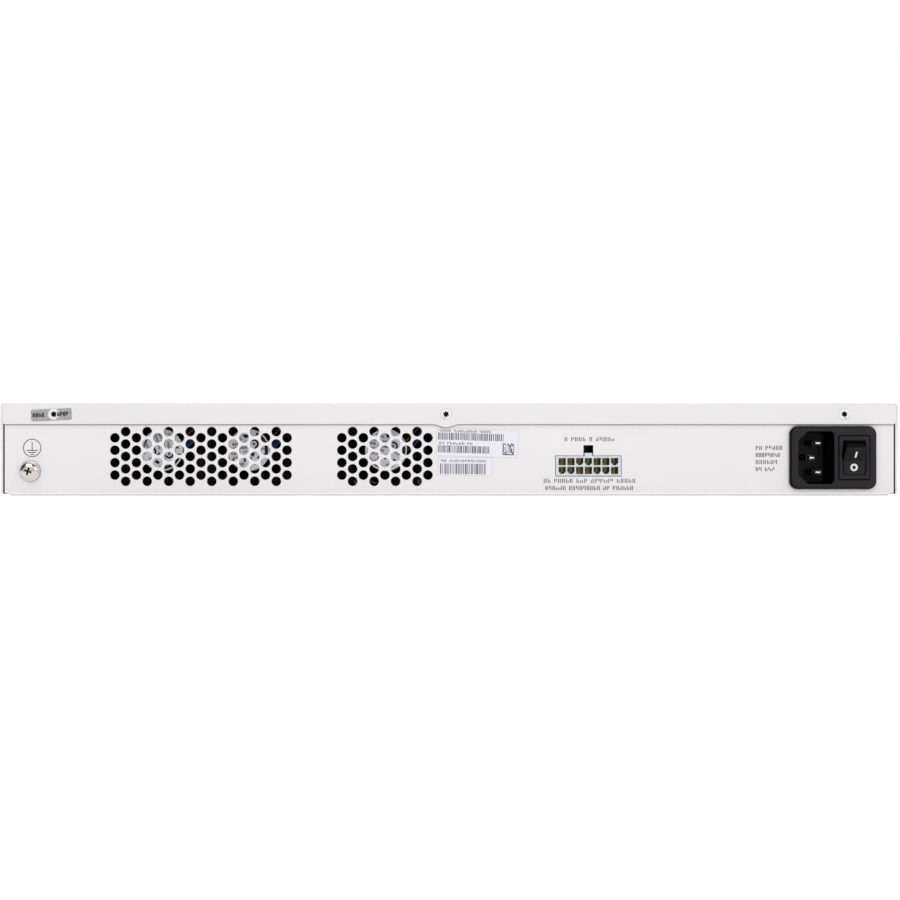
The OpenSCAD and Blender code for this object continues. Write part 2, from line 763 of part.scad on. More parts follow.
module fan_wires() {
    colours = ["saddlebrown", "royalblue", "gold"];
    y = fan_rear_y + 0.1;
    for (i = [0:2]) for (k = [0:2]) color(colours[k]) {
        z = fan_z + 7.5 + 1.8*k;
        x = lead_x(i) + 2*(k - 1);
        wire([
            [fan_xs[i] - hub_r + 2 - k, y, fan_z + 2.4 + 1.4*k], [fan_xs[i] - fan_w/2 + 1, y, z],
            [lead_x(i), y - 1, z], [lead_x(i), bracket_y - 3, z], [x, 100, 14], [x, 92.02, 14]
        ], 0.5);
    }
}

// ---------- boards ----------

module main_board() {
    color("darkgreen") difference() {
        translate([0, 0, board_z]) linear_extrude(board_t) polygon([
            [-board_half, board_front_y], [board_half, board_front_y], [board_half, board_rear_y],
            [board_left_x, board_rear_y], [board_left_x, board_strip_y], [-board_half, board_strip_y]
        ]);
        for (p = main_holes) translate([p[0], p[1], board_z - 1]) cylinder(h = 4, r = 1.7);
    }
}

module board_standoffs() {
    color("silver") for (p = concat(main_holes, psu_holes, dc_holes))
        translate([p[0], p[1], sheet_t]) difference() {
            cylinder(h = board_z - sheet_t, r = standoff_r);
            translate([0, 0, 1]) cylinder(h = board_z, r = m3_hole_r);
        }
}

module board_screws() {
    color("silver") for (p = concat(main_holes, psu_holes, dc_holes))
        translate([p[0], p[1], board_top]) pan_screw(m3_r, 6, 2.8, 2);
}

// ---------- front ports ----------

// Opening for one plug, centred on its column, with its contacts on the belly side (y = 0) and its latch above
module port_opening(grow = 0) {
    translate([-port_w/2 - grow, -grow]) square([port_w + 2*grow, port_h + 2*grow]);
    translate([-latch_w/2 - grow, 0]) square([latch_w + 2*grow, port_h + latch_h + grow]);
    translate([-2, 0]) square([4, port_h + latch_h + 0.9 + grow]);
}

function port_x(b, c) = port_block_x[b] + (c - (port_columns - 1)/2)*port_pitch;

// Places a drawing at every port, upper row latch up and lower row latch down
module at_ports() {
    for (b = [0, 1]) for (c = [0:port_columns - 1]) for (s = [-1, 1])
        translate([port_x(b, c), port_z]) scale([1, s]) translate([0, port_wall]) children();
}

module port_blocks() {
    front = front_y - 1.6;
    inner = block_w - 2*shield_t - 0.1;
    top = board_top + block_h - shield_t - 0.05;
    color([0.1, 0.1, 0.1]) difference() {
        for (x = port_block_x)
            block([x - inner/2, front, board_top], [x + inner/2, block_back_y - 0.4, top]);
        for (b = [0, 1]) for (c = [0:port_columns - 1]) for (s = [0, 1])
            slab_y(front - 1, front + port_depth) translate([port_x(b, c), port_z]) mirror([0, s])
                translate([0, port_wall]) port_opening();
        for (b = [0, 1]) for (c = [0:port_columns - 1]) for (s = [-1, 1]) for (e = [-1, 1])
            translate([port_x(b, c) + e*4.6, front, port_z + s*10.6]) cube([2.1, 4, 1.7], center = true);
    }
}

module port_shields() {
    front = front_y - 2;
    color("silver") difference() {
        for (x = port_block_x) difference() {
            block([x - block_w/2, front, board_top], [x + block_w/2, block_back_y, board_top + block_h]);
            block([x - block_w/2 + shield_t, front + shield_t, board_top - 1],
                [x + block_w/2 - shield_t, block_back_y - shield_t, board_top + block_h - shield_t]);
        }
        for (b = [0, 1]) for (c = [0:port_columns - 1]) for (s = [-1, 1])
            translate([port_x(b, c), front, port_z + s*6.35]) cube([12.4, 4, 11], center = true);
    }
}

// Eight springs on one carrier, as one piece in each port
module contact_comb() {
    back = front_y - 1.6 + port_depth;
    block([-4.2, back - 3, 0], [4.2, back, 1.6]);
    for (i = [0:7]) translate([(i - 3.5)*1.02 - 0.22, back - 1.5, 0.5]) rotate([-14, 0, 0])
        translate([0, -9.5, 0]) cube([0.44, 9.5, 0.35]);
}

module port_contacts() {
    color("gold") {
        for (b = [0, 1]) for (c = [0:port_columns - 1]) for (s = [0, 1])
            translate([port_x(b, c), 0, port_z]) mirror([0, 0, s]) translate([0, 0, port_wall]) contact_comb();
        translate([console_x, 0, board_top + 1]) contact_comb();
    }
}

module port_light_pipes() {
    front = front_y - 1.6;
    color("honeydew") for (b = [0, 1]) for (c = [0:port_columns - 1]) for (s = [-1, 1]) for (e = [-1, 1])
        translate([port_x(b, c) + e*4.6, front + 1, port_z + s*10.6]) cube([2, 2, 1.6], center = true);
}

module sfp_cage() {
    front = front_y - 2.4;
    wall = 0.3;
    color("silver") difference() {
        block([sfp_x - sfp_w/2, front, board_top], [sfp_x + sfp_w/2, front + sfp_depth, board_top + sfp_h]);
        for (i = [0:sfp_bays - 1]) {
            x = sfp_x + (i - (sfp_bays - 1)/2)*sfp_pitch;
            half = (sfp_pitch - wall)/2;
            back = front + sfp_depth - wall;
            block([x - half, front - 1, board_top + wall], [x + half, back, board_top + sfp_h - wall]);
            block([x - half, back - 12.7, board_top - 1], [x + half, back, board_top + 1]);
        }
    }
}

module sfp_connectors() {
    y = front_y - 2.4 + sfp_depth - 9;
    color([0.12, 0.12, 0.12]) for (i = [0:sfp_bays - 1])
        translate([sfp_x + (i - (sfp_bays - 1)/2)*sfp_pitch, y, board_top]) difference() {
            translate([-5.8, 0, 0]) cube([11.6, 7, 5.6]);
            translate([-4.3, -1, 3]) cube([8.6, 6, 1.2]);
        }
}

module console_jack() {
    front = front_y - 2;
    color([0.1, 0.1, 0.1]) difference() {
        block([console_x - console_w/2, front, board_top],
            [console_x + console_w/2, front + 21, board_top + console_h]);
        slab_y(front - 1, front_y - 1.6 + port_depth) translate([console_x, board_top + 1]) port_opening();
    }
}

module usb_shell() {
    front = front_y - 2.2;
    wall = 0.35;
    z = board_top;
    color("silver") difference() {
        block([usb_x - usb_w/2, front, z], [usb_x + usb_w/2, front + 15, z + usb_h]);
        block([usb_x - usb_w/2 + wall, front - 1, z + wall],
            [usb_x + usb_w/2 - wall, front + 14.5, z + usb_h - wall]);
    }
}

module usb_tongue() {
    front = front_y - 2.2;
    z = board_top + usb_h/2;
    color([0.1, 0.1, 0.1]) {
        block([usb_x - 5.6, front + 0.8, z + 0.1], [usb_x + 5.6, front + 13, z + 1.9]);
        block([usb_x - 6.1, front + 12, z - 2.4], [usb_x + 6.1, front + 14.4, z + 2.4]);
    }
}

module status_light_pipes() {
    color("honeydew") for (x = status_xs) {
        out_front(x, front_y + 6, status_z) cylinder(h = 8.3, r = status_r);
        block([x - 1.1, front_y + 5.5, board_top + 0.8], [x + 1.1, front_y + 8, status_z + 1.1]);
    }
}

module mode_button() {
    color("gray") {
        out_front(button_x, front_y + 2, button_z) cylinder(h = 4.9, r = button_r);
        out_front(button_x, front_y + 4, button_z) cylinder(h = 3, r = 1.2);
        out_front(button_x, front_y + 2.2, button_z) cylinder(h = 0.8, r = button_r + 0.9);
    }
}

module mode_switch() {
    front = front_y + 4 + button_travel + 0.1;
    color([0.15, 0.15, 0.15]) block([button_x - 3, front, board_top], [button_x + 3, front_y + 9, board_top + 7]);
}

// ---------- main board's parts ----------

module heatsink(size, fins, base_t) {
    color("gainsboro") {
        cube([size[0], size[1], base_t]);
        for (i = [0:fins - 1]) translate([i*(size[0] - 1.4)/(fins - 1), 0, base_t - eps])
            cube([1.4, size[1], size[2] - base_t]);
    }
}

chip_h = 2.2;
processor_chip = [40, 10, 40];
switch_chip = [-30, -60, 34];

module processor_heatsink() { translate([26, -4, board_top + chip_h]) heatsink([68, 68, 22], 15, 4); }

module switch_heatsink() { translate([-38, -68, board_top + chip_h]) heatsink([50, 50, 16], 11, 3); }

module board_chips() {
    color([0.13, 0.13, 0.14]) {
        for (c = [processor_chip, switch_chip])
            translate([c[0], c[1], board_top]) cube([c[2], c[2], chip_h]);
        for (i = [0:3]) translate([116, -50 + 16*i, board_top]) cube([11, 13, 1.1]);
        for (i = [0:2]) translate([40 + 22*i, -104, board_top]) cube([14, 14, 1.4]);
        for (i = [0:2]) translate([-80 + 22*i, -104, board_top]) cube([14, 14, 1.4]);
        translate([150, -88, board_top]) cube([20, 12, 1.2]);
        translate([-150, -112, board_top]) cube([9, 9, 1.2]);
        for (x = status_xs) translate([x - 1, front_y + 5.8, board_top]) cube([2, 2, 0.75]);
    }
}

module board_capacitors() {
    color([0.2, 0.22, 0.3]) {
        for (i = [0:5]) translate([-84 + 12*i, 66, board_top]) cylinder(h = 11, r = 4);
        for (i = [0:3]) translate([150 + 12*i, 40, board_top]) cylinder(h = 8, r = 3.2);
        for (i = [0:3]) translate([-88, 4 + 13*i, board_top]) cube([10, 10, 6]);
        for (i = [0:2]) translate([108, 20 + 14*i, board_top]) cube([10, 10, 6]);
    }
}

psu_in_x = -186;

// Plug housings: mains in, supply out, DC in, and one for each fan
module board_connectors() {
    color("ivory") {
        block([psu_in_x - 9, 94, board_top], [psu_in_x + 9, 104, board_top + 12]);
        block([-120, -32, board_top], [-114, -12, board_top + 11]);
        block([-88, -32, board_top], [-82, -12, board_top + 11]);
        block([-77, 104, board_top], [-57, 110, board_top + 11]);
        block([-77, 82, board_top], [-57, 88, board_top + 11]);
        for (i = [0:2]) block([lead_x(i) - 5, 86, board_top], [lead_x(i) + 5, 92, board_top + 9]);
    }
}

// ---------- internal supply ----------

module psu_board() {
    color("darkkhaki") difference() {
        block([psu_board_box[0][0], psu_board_box[0][1], board_z],
            [psu_board_box[1][0], psu_board_box[1][1], board_top]);
        for (p = psu_holes) translate([p[0], p[1], board_z - 1]) cylinder(h = 4, r = 1.7);
    }
}

module psu_transformer() {
    color("goldenrod") translate([-170, -22, board_top]) {
        translate([0, 0, 0]) cube([34, 30, 4]);
        translate([4, -2, 4 - eps]) cube([26, 34, 18]);
        translate([0, 0, 22 - 2*eps]) cube([34, 30, 4]);
    }
}

module psu_capacitors() {
    color([0.15, 0.15, 0.2]) {
        translate([-190, 50, board_top]) cylinder(h = 30, r = 12);
        for (i = [0:2]) translate([-128, 6 - 16*i, board_top]) cylinder(h = 22, r = 5.5);
        translate([-160, 76, board_top]) cube([20, 9, 14]);
        translate([-134, 72, board_top]) cube([20, 20, 18]);
    }
}

module psu_heatsinks() {
    color("gainsboro") {
        block([-202, -16, board_top + 0.5], [-199, 34, board_top + 28]);
        block([-199 - eps, -16, board_top + 25], [-184, 34, board_top + 28]);
        block([-150, 18, board_top + 0.5], [-147, 66, board_top + 28]);
        block([-147 - eps, 18, board_top + 25], [-132, 66, board_top + 28]);
    }
}

// ---------- one node at a time, or all of them ----------

base_tray();
top_cover();
front_panel();
front_panel_screws();
rear_cover_screws();
side_cover_screws();
ground_screw();
ground_washer();
seal_label();
asset_label();
serial_label();
inlet_housing();
inlet_pins();
switch_body();
power_rocker();
switch_terminals();
ac_wires();
dc_header();
dc_header_pins();
dc_input_board();
dc_wires();
fan_frame(0);  // fan_1_frame
fan_frame(1);  // fan_2_frame
fan_frame(2);  // fan_3_frame
fan_rotor(0);  // fan_1_rotor
fan_rotor(1);  // fan_2_rotor
fan_rotor(2);  // fan_3_rotor
fan_shaft(0);  // fan_1_shaft
fan_shaft(1);  // fan_2_shaft
fan_shaft(2);  // fan_3_shaft
fan_stators();
fan_bearings();
fan_labels();
fan_bracket();
fan_screws();
fan_wires();
main_board();
board_standoffs();
board_screws();
port_blocks();
port_shields();
port_contacts();
port_light_pipes();
sfp_cage();
sfp_connectors();
console_jack();
usb_shell();
usb_tongue();
status_light_pipes();
mode_button();
mode_switch();
switch_heatsink();
processor_heatsink();
board_chips();
board_capacitors();
board_connectors();
psu_board();
psu_transformer();
psu_capacitors();
psu_heatsinks();
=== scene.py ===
"""Looks for the rackmount network switch: materials, screws, plastics, leads, print, light and camera."""
import math
import random

import bmesh
import bpy
from mathutils import Matrix, Vector


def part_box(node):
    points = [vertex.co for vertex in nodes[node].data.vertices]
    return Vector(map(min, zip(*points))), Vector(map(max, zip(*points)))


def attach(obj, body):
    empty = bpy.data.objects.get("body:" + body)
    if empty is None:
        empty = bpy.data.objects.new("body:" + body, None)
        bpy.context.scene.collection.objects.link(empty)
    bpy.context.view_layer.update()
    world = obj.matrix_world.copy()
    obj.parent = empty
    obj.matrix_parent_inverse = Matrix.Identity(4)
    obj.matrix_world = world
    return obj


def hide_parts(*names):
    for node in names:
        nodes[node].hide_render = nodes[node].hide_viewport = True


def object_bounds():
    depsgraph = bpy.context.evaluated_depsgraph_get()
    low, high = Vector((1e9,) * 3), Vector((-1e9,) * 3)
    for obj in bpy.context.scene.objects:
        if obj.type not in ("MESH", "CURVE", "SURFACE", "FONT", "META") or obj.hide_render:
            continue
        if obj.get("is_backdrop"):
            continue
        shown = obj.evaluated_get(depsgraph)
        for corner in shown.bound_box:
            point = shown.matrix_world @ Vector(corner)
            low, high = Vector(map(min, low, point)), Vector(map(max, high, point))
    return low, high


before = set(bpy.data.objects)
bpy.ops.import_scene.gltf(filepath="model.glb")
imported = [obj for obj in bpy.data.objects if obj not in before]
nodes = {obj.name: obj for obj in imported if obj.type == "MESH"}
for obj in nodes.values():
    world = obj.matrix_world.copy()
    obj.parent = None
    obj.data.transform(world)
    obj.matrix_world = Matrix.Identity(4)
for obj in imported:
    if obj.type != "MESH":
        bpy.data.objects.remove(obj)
cad_low, cad_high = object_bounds()
MM = 0.001
ROOT = "chassis"
CREVICE_REACH = 1.1*MM   # how far painted shade reaches out of a corner
CREVICE_FLOOR = 3.0*MM   # no painted shade below this height, next to the floor
BOUNCE_LOW, BOUNCE_HIGH, BOUNCE = 0.05*MM, 1.3*MM, 0.5   # heights given a painted glow for light off the pale floor
BOUNCE_GROWS, BOUNCE_FADES = 0.2*MM, 0.5*MM              # how far the painted glow takes to come in, and to go
UNLIT = (0.02, 0.02, 0.021)                              # painted shade on the inside of the case


# ---- shaders

class Shader:
    """Short-hand for one node material. Texture positions are object coordinates, in metres."""

    def __init__(self, name):
        self.material = bpy.data.materials.new(name)
        self.material.use_nodes = True
        self.tree = self.material.node_tree
        self.surface = self.tree.nodes["Principled BSDF"]
        self.position = self.tree.nodes.new("ShaderNodeTexCoord").outputs["Object"]

    def put(self, socket, value):
        if isinstance(value, bpy.types.NodeSocket):
            self.tree.links.new(value, socket)
        elif isinstance(value, (tuple, list)) and len(value) == 3 and socket.type == "RGBA":
            socket.default_value = (*value, 1)
        else:
            socket.default_value = value

    def node(self, kind, output=0, sockets=None, **settings):
        made = self.tree.nodes.new(kind)
        for key, value in settings.items():
            setattr(made, key, value)
        for key, value in (sockets or {}).items():
            self.put(made.inputs[key], value)
        return made.outputs[output]

    def noise(self, scale, detail=2.0, vector=None):
        return self.node("ShaderNodeTexNoise", 0, {
            "Vector": vector or self.position, "Scale": scale, "Detail": detail})

    def stretched(self, factors):
        return self.node("ShaderNodeVectorMath", 0, {0: self.position, 1: factors}, operation="MULTIPLY")

    def sum(self, kind, a, b=0.0):
        return self.node("ShaderNodeMath", 0, {0: a, 1: b}, operation=kind)

    def span(self, value, low, high, to_low=0.0, to_high=1.0):
        return self.node("ShaderNodeMapRange", 0, {
            "Value": value, "From Min": low, "From Max": high, "To Min": to_low, "To Max": to_high})

    def blend(self, factor, a, b):
        made = self.tree.nodes.new("ShaderNodeMix")
        made.data_type = "RGBA"
        self.put(made.inputs[0], factor)
        self.put(made.inputs[6], a)
        self.put(made.inputs[7], b)
        return made.outputs[2]

    def axis(self, which, source=None):
        return self.node("ShaderNodeSeparateXYZ", "XYZ".index(which), {0: source or self.position})

    def normal(self, which):
        return self.axis(which, self.node("ShaderNodeNewGeometry", 1))

    def open_sky(self):
        return self.node("ShaderNodeAmbientOcclusion", "AO", {"Distance": CREVICE_REACH}, samples=8)

    def bump(self, height, depth, strength):
        return self.node("ShaderNodeBump", 0, {"Height": height, "Distance": depth, "Strength": strength})

    def done(self, **sockets):
        names = {"color": "Base Color", "rough": "Roughness", "metal": "Metallic",
                 "spec": "Specular IOR Level", "normal": "Normal", "coat": "Coat Weight",
                 "through": "Transmission Weight", "glow": "Emission Color",
                 "glow_strength": "Emission Strength",
                 "under": "Subsurface Weight", "under_scale": "Subsurface Scale"}
        for key, value in sockets.items():
            self.put(self.surface.inputs[names[key]], value)
        return self.material


def shade(color, factor):
    return tuple(c*factor for c in color)


def powder_coat(name, color, painted_shade_inside=None):
    """Fine orange-peel paint, with painted shade in corners and a painted glow just above the floor; the last
    argument, if given, is the half-width, half-depth, bottom and top of the unlit inside, which takes painted
    shade.
    """
    s = Shader(name)
    peel = s.noise(1500, 3)
    cloud = s.noise(9, 3)
    speck = s.noise(5200, 1)
    tone = s.blend(s.span(cloud, 0.35, 0.65), shade(color, 0.975), color)
    tone = s.blend(s.span(speck, 0.62, 0.75, 0, 0.12), tone, shade(color, 0.8))
    # painted shade: faces inside the case take the near-black unlit colour
    if painted_shade_inside:
        half_x, half_y, floor_z, top_z = painted_shade_inside
        inside = s.sum("LESS_THAN", s.sum("ABSOLUTE", s.axis("X")), half_x)
        inside = s.sum("MULTIPLY", inside, s.sum("LESS_THAN", s.sum("ABSOLUTE", s.axis("Y")), half_y))
        inside = s.sum("MULTIPLY", inside, s.sum("GREATER_THAN", s.axis("Z"), floor_z))
        inside = s.sum("MULTIPLY", inside, s.sum("LESS_THAN", s.axis("Z"), top_z))
        tone = s.blend(inside, tone, UNLIT)
    # painted shade: the paint goes darker in corners and creases, where little sky is open
    crevice_shade = s.sum("MULTIPLY", s.span(s.open_sky(), 0.5, 0.92, 1, 0),
                    s.sum("GREATER_THAN", s.axis("Z"), CREVICE_FLOOR))
    tone = s.blend(crevice_shade, tone, shade(color, 0.3))
    height = s.sum("ADD", peel, s.sum("MULTIPLY", speck, 0.25))
    # painted glow: paint just above the floor glows, standing in for light off the pale floor
    floor_bounce_glow = s.sum("MULTIPLY", s.span(s.axis("Z"), BOUNCE_LOW, BOUNCE_LOW + BOUNCE_GROWS),
                       s.span(s.axis("Z"), BOUNCE_HIGH, BOUNCE_HIGH - BOUNCE_FADES))
    return s.done(color=tone, rough=s.span(peel, 0.3, 0.7, 0.42, 0.52), spec=0.35,
                  normal=s.bump(height, 0.02*MM, 0.6), glow=color,
                  glow_strength=s.span(floor_bounce_glow, 0, 1, 0, BOUNCE))


def moulded(name, color, rough=0.5, spec=0.3, rim_shade=0.0, grain=3200, depth=0.02*MM, under=0.0):
    """Injection moulding: spark-eroded grain and slight clouding; the rim setting is painted shade that
    darkens rounds, sides and gaps.
    """
    s = Shader(name)
    pit = s.noise(grain, 2)
    cloud = s.noise(60, 3)
    tone = s.blend(s.span(cloud, 0.3, 0.7), shade(color, 0.88), shade(color, 1.12))
    # painted shade: hollows and faces turned away from the rear and front go dark and lose sheen
    if rim_shade:
        sunk = s.span(s.open_sky(), 0.5, 0.97, 1, 0)
        aside = s.span(s.sum("ABSOLUTE", s.normal("Y")), 0.72, 0.97, 1, 0)
        dark = s.sum("MAXIMUM", sunk, aside)
        tone = s.blend(s.sum("MULTIPLY", dark, rim_shade), tone, (0.0, 0.0, 0.0))
        spec = s.sum("MULTIPLY", s.span(dark, 0, 1, 1, 1 - rim_shade), spec)
    return s.done(color=tone, rough=s.span(pit, 0.3, 0.7, rough - 0.07, rough + 0.07), spec=spec,
                  normal=s.bump(pit, depth, 0.7), under=under, under_scale=2*MM)


def plated(name, color, rough=0.16, grain=(300, 300, 300), wave=0.01*MM):
    """Plated or bare metal; unequal grain factors draw it out along the slow axis."""
    s = Shader(name)
    lay = s.noise(1, 3, vector=s.stretched(grain))
    stain = s.noise(120, 3)
    tone = s.blend(s.span(stain, 0.35, 0.7), color, shade(color, 0.86))
    rough_out = s.sum("ADD", s.span(lay, 0.3, 0.7, rough - 0.05, rough + 0.07),
                      s.span(stain, 0.4, 0.8, 0, 0.08))
    return s.done(color=tone, metal=1.0, rough=rough_out, normal=s.bump(lay, wave, 0.6))


ROOT_GLOW = (0.05, 0.032, 0.018)   # painted glow for light caught by a pin's root at the bottom of the socket


def end_lit_metal(name, end, flank, root_y=None):
    """Pin in a deep socket: flanks painted dark as shade and the end that faces the rear painted bright as a
    highlight; any painted glow is full just above root_y.
    """
    s = Shader(name)
    lay = s.noise(700, 3)
    ahead = s.span(s.normal("Y"), 0.97, 0.995)
    # painted highlight and shade: faces turned to the rear take the bright end colour, the others the dark
    # flank colour
    tone = s.blend(ahead, s.blend(s.span(lay, 0.3, 0.7), shade(flank, 0.7), flank), end)
    # painted glow: the pin's root glows just above root_y
    root = s.span(s.axis("Y"), root_y + 2.5*MM, root_y + 0.5*MM) if root_y else 0.0
    return s.done(color=tone, metal=s.span(ahead, 0, 1, 0.9, 0.35), rough=s.span(lay, 0.3, 0.7, 0.3, 0.42),
                  normal=s.bump(lay, 0.006*MM, 0.5), glow=ROOT_GLOW, glow_strength=root)


def spangled(name, color):
    """Zinc crystals on galvanised sheet."""
    s = Shader(name)
    crystal = s.node("ShaderNodeTexVoronoi", 1, {"Vector": s.position, "Scale": 260})
    level = s.axis("X", crystal)
    tone = s.blend(level, shade(color, 0.8), color)
    return s.done(color=tone, metal=0.9, rough=s.span(level, 0, 1, 0.28, 0.45),
                  normal=s.bump(s.noise(900, 2), 0.01*MM, 0.5))


def circuit_board(name, color):
    """Solder mask over bundles of fine tracks, lengthwise or crosswise by patches, with vias."""
    s = Shader(name)
    turned = s.node("ShaderNodeCombineXYZ", 0, {0: s.axis("Y"), 1: s.axis("X"), 2: s.axis("Z")})
    lengthwise, crosswise = (s.node("ShaderNodeTexBrick", 1, {
        "Vector": way, "Scale": 400, "Mortar Size": 0.06, "Mortar Smooth": 0.1, "Brick Width": 11.0,
        "Row Height": 0.42}) for way in (s.position, turned))
    tracks = s.blend(s.sum("GREATER_THAN", s.noise(38, 1), 0.5), lengthwise, crosswise)
    tracks = s.sum("MULTIPLY", tracks, s.span(s.noise(62, 1), 0.44, 0.46))
    via = s.node("ShaderNodeTexVoronoi", 0, {"Vector": s.position, "Scale": 240})
    pour = s.span(s.noise(25, 2), 0.55, 0.56, 0, 0.35)
    tone = s.blend(pour, color, shade(color, 1.5))
    tone = s.blend(s.span(tracks, 0, 1, 0, 0.5), tone, shade(color, 1.9))
    tone = s.blend(s.span(via, 0.1, 0.14, 0.8, 0), tone, (0.55, 0.45, 0.2))
    face = s.sum("ABSOLUTE", s.normal("Z"))
    tone = s.blend(s.sum("GREATER_THAN", face, 0.5), (0.22, 0.2, 0.07), tone)
    return s.done(color=tone, rough=0.3, spec=0.5, coat=0.3, normal=s.bump(tracks, 0.03*MM, 0.5))


def printed_sheet(name, color, speck=0.04, metal=0.0, rough=0.4, glow=0.0):
    """Label stock: paper fibre and a little sheen; glow lifts a label that sits in the dark."""
    s = Shader(name)
    fibre = s.noise(2600, 3, vector=s.stretched((1, 1, 2.2)))
    tone = s.blend(s.span(fibre, 0.35, 0.65), shade(color, 1 - speck), shade(color, 1 + speck))
    return s.done(color=tone, rough=rough, metal=metal, spec=0.4, normal=s.bump(fibre, 0.008*MM, 0.5),
                  glow=tone, glow_strength=glow)


def insulation(name, color):
    """PVC lead, with the slight ripple of its strands."""
    s = Shader(name)
    ripple = s.noise(700, 2)
    return s.done(color=s.blend(s.span(ripple, 0.3, 0.7), shade(color, 0.85), color), rough=0.38, spec=0.45,
                  normal=s.bump(ripple, 0.04*MM, 0.5))


def sleeve_and_can(name, color, top):
    """Capacitors: shrink sleeve on the sides, bare can on top."""
    s = Shader(name)
    up = s.sum("GREATER_THAN", s.normal("Z"), 0.8)
    wrap = s.noise(400, 2)
    return s.done(color=s.blend(up, s.blend(s.span(wrap, 0.4, 0.6), color, shade(color, 1.4)), top),
                  metal=s.span(up, 0, 1, 0, 0.8), rough=0.35, normal=s.bump(wrap, 0.03*MM, 0.4))


def wound(name, color, gap, pitch=900):
    """Turns of wire or tape, seen as bands up the part."""
    s = Shader(name)
    turn = s.node("ShaderNodeTexWave", 1, {
        "Vector": s.position, "Scale": pitch/10, "Distortion": 0.6, "Detail": 1.0}, bands_direction="Z")
    return s.done(color=s.blend(s.span(turn, 0.2, 0.8), gap, color), rough=0.35, coat=0.4,
                  normal=s.bump(turn, 0.1*MM, 0.6))


def clear_moulding(name):
    s = Shader(name)
    haze = s.noise(800, 2)
    return s.done(color=(0.86, 0.9, 0.87), rough=s.span(haze, 0.3, 0.7, 0.1, 0.28), through=0.75, spec=0.5,
                  normal=s.bump(haze, 0.01*MM, 0.4))


CELL_GLOW = (0.085, 0.068, 0.03)   # painted glow for light let through the nylon into its cells
CELL_EDGE, CELL_DARK = 0.3*MM, 1.1*MM   # depths at which a cell's painted shade starts, and is full


def header_nylon(name, face_y):
    """Natural nylon: waxy and bluish at the face, with deep cells that go olive and, as painted shade, dark,
    darkest on their shadow side, and lit by a painted glow.
    """
    s = Shader(name)
    cloud = s.noise(420, 3)
    front = s.blend(s.span(cloud, 0.35, 0.65), (0.56, 0.62, 0.68), (0.72, 0.77, 0.82))
    mottle = s.span(s.noise(900, 3, vector=s.stretched((2, 0.3, 0.8))), 0.35, 0.65)
    olive = s.blend(mottle, (0.16, 0.13, 0.06), (0.3, 0.25, 0.12))
    # painted shade: the cells darken with depth behind the face and on their shadow side, and a painted glow
    # lights them
    shadow_side = s.span(s.normal("X"), 0.3, 0.6)
    deep = s.blend(shadow_side, olive, (0.03, 0.025, 0.012))
    depth = s.span(s.axis("Y"), face_y - CELL_DARK, face_y - CELL_EDGE)
    glow = s.blend(depth, s.blend(shadow_side, CELL_GLOW, (0.004, 0.003, 0.001)), (0.0, 0.0, 0.0))
    return s.done(color=s.blend(depth, deep, front), rough=0.42, spec=0.4, normal=s.bump(cloud, 0.02*MM, 0.5),
                  glow=glow, glow_strength=1.0)


def ink(name, color):
    s = Shader(name)
    grit = s.noise(4000, 2)
    return s.done(color=s.blend(s.span(grit, 0.4, 0.7), color, shade(color, 0.8)), rough=0.5, spec=0.3,
                  normal=s.bump(grit, 0.006*MM, 0.4))


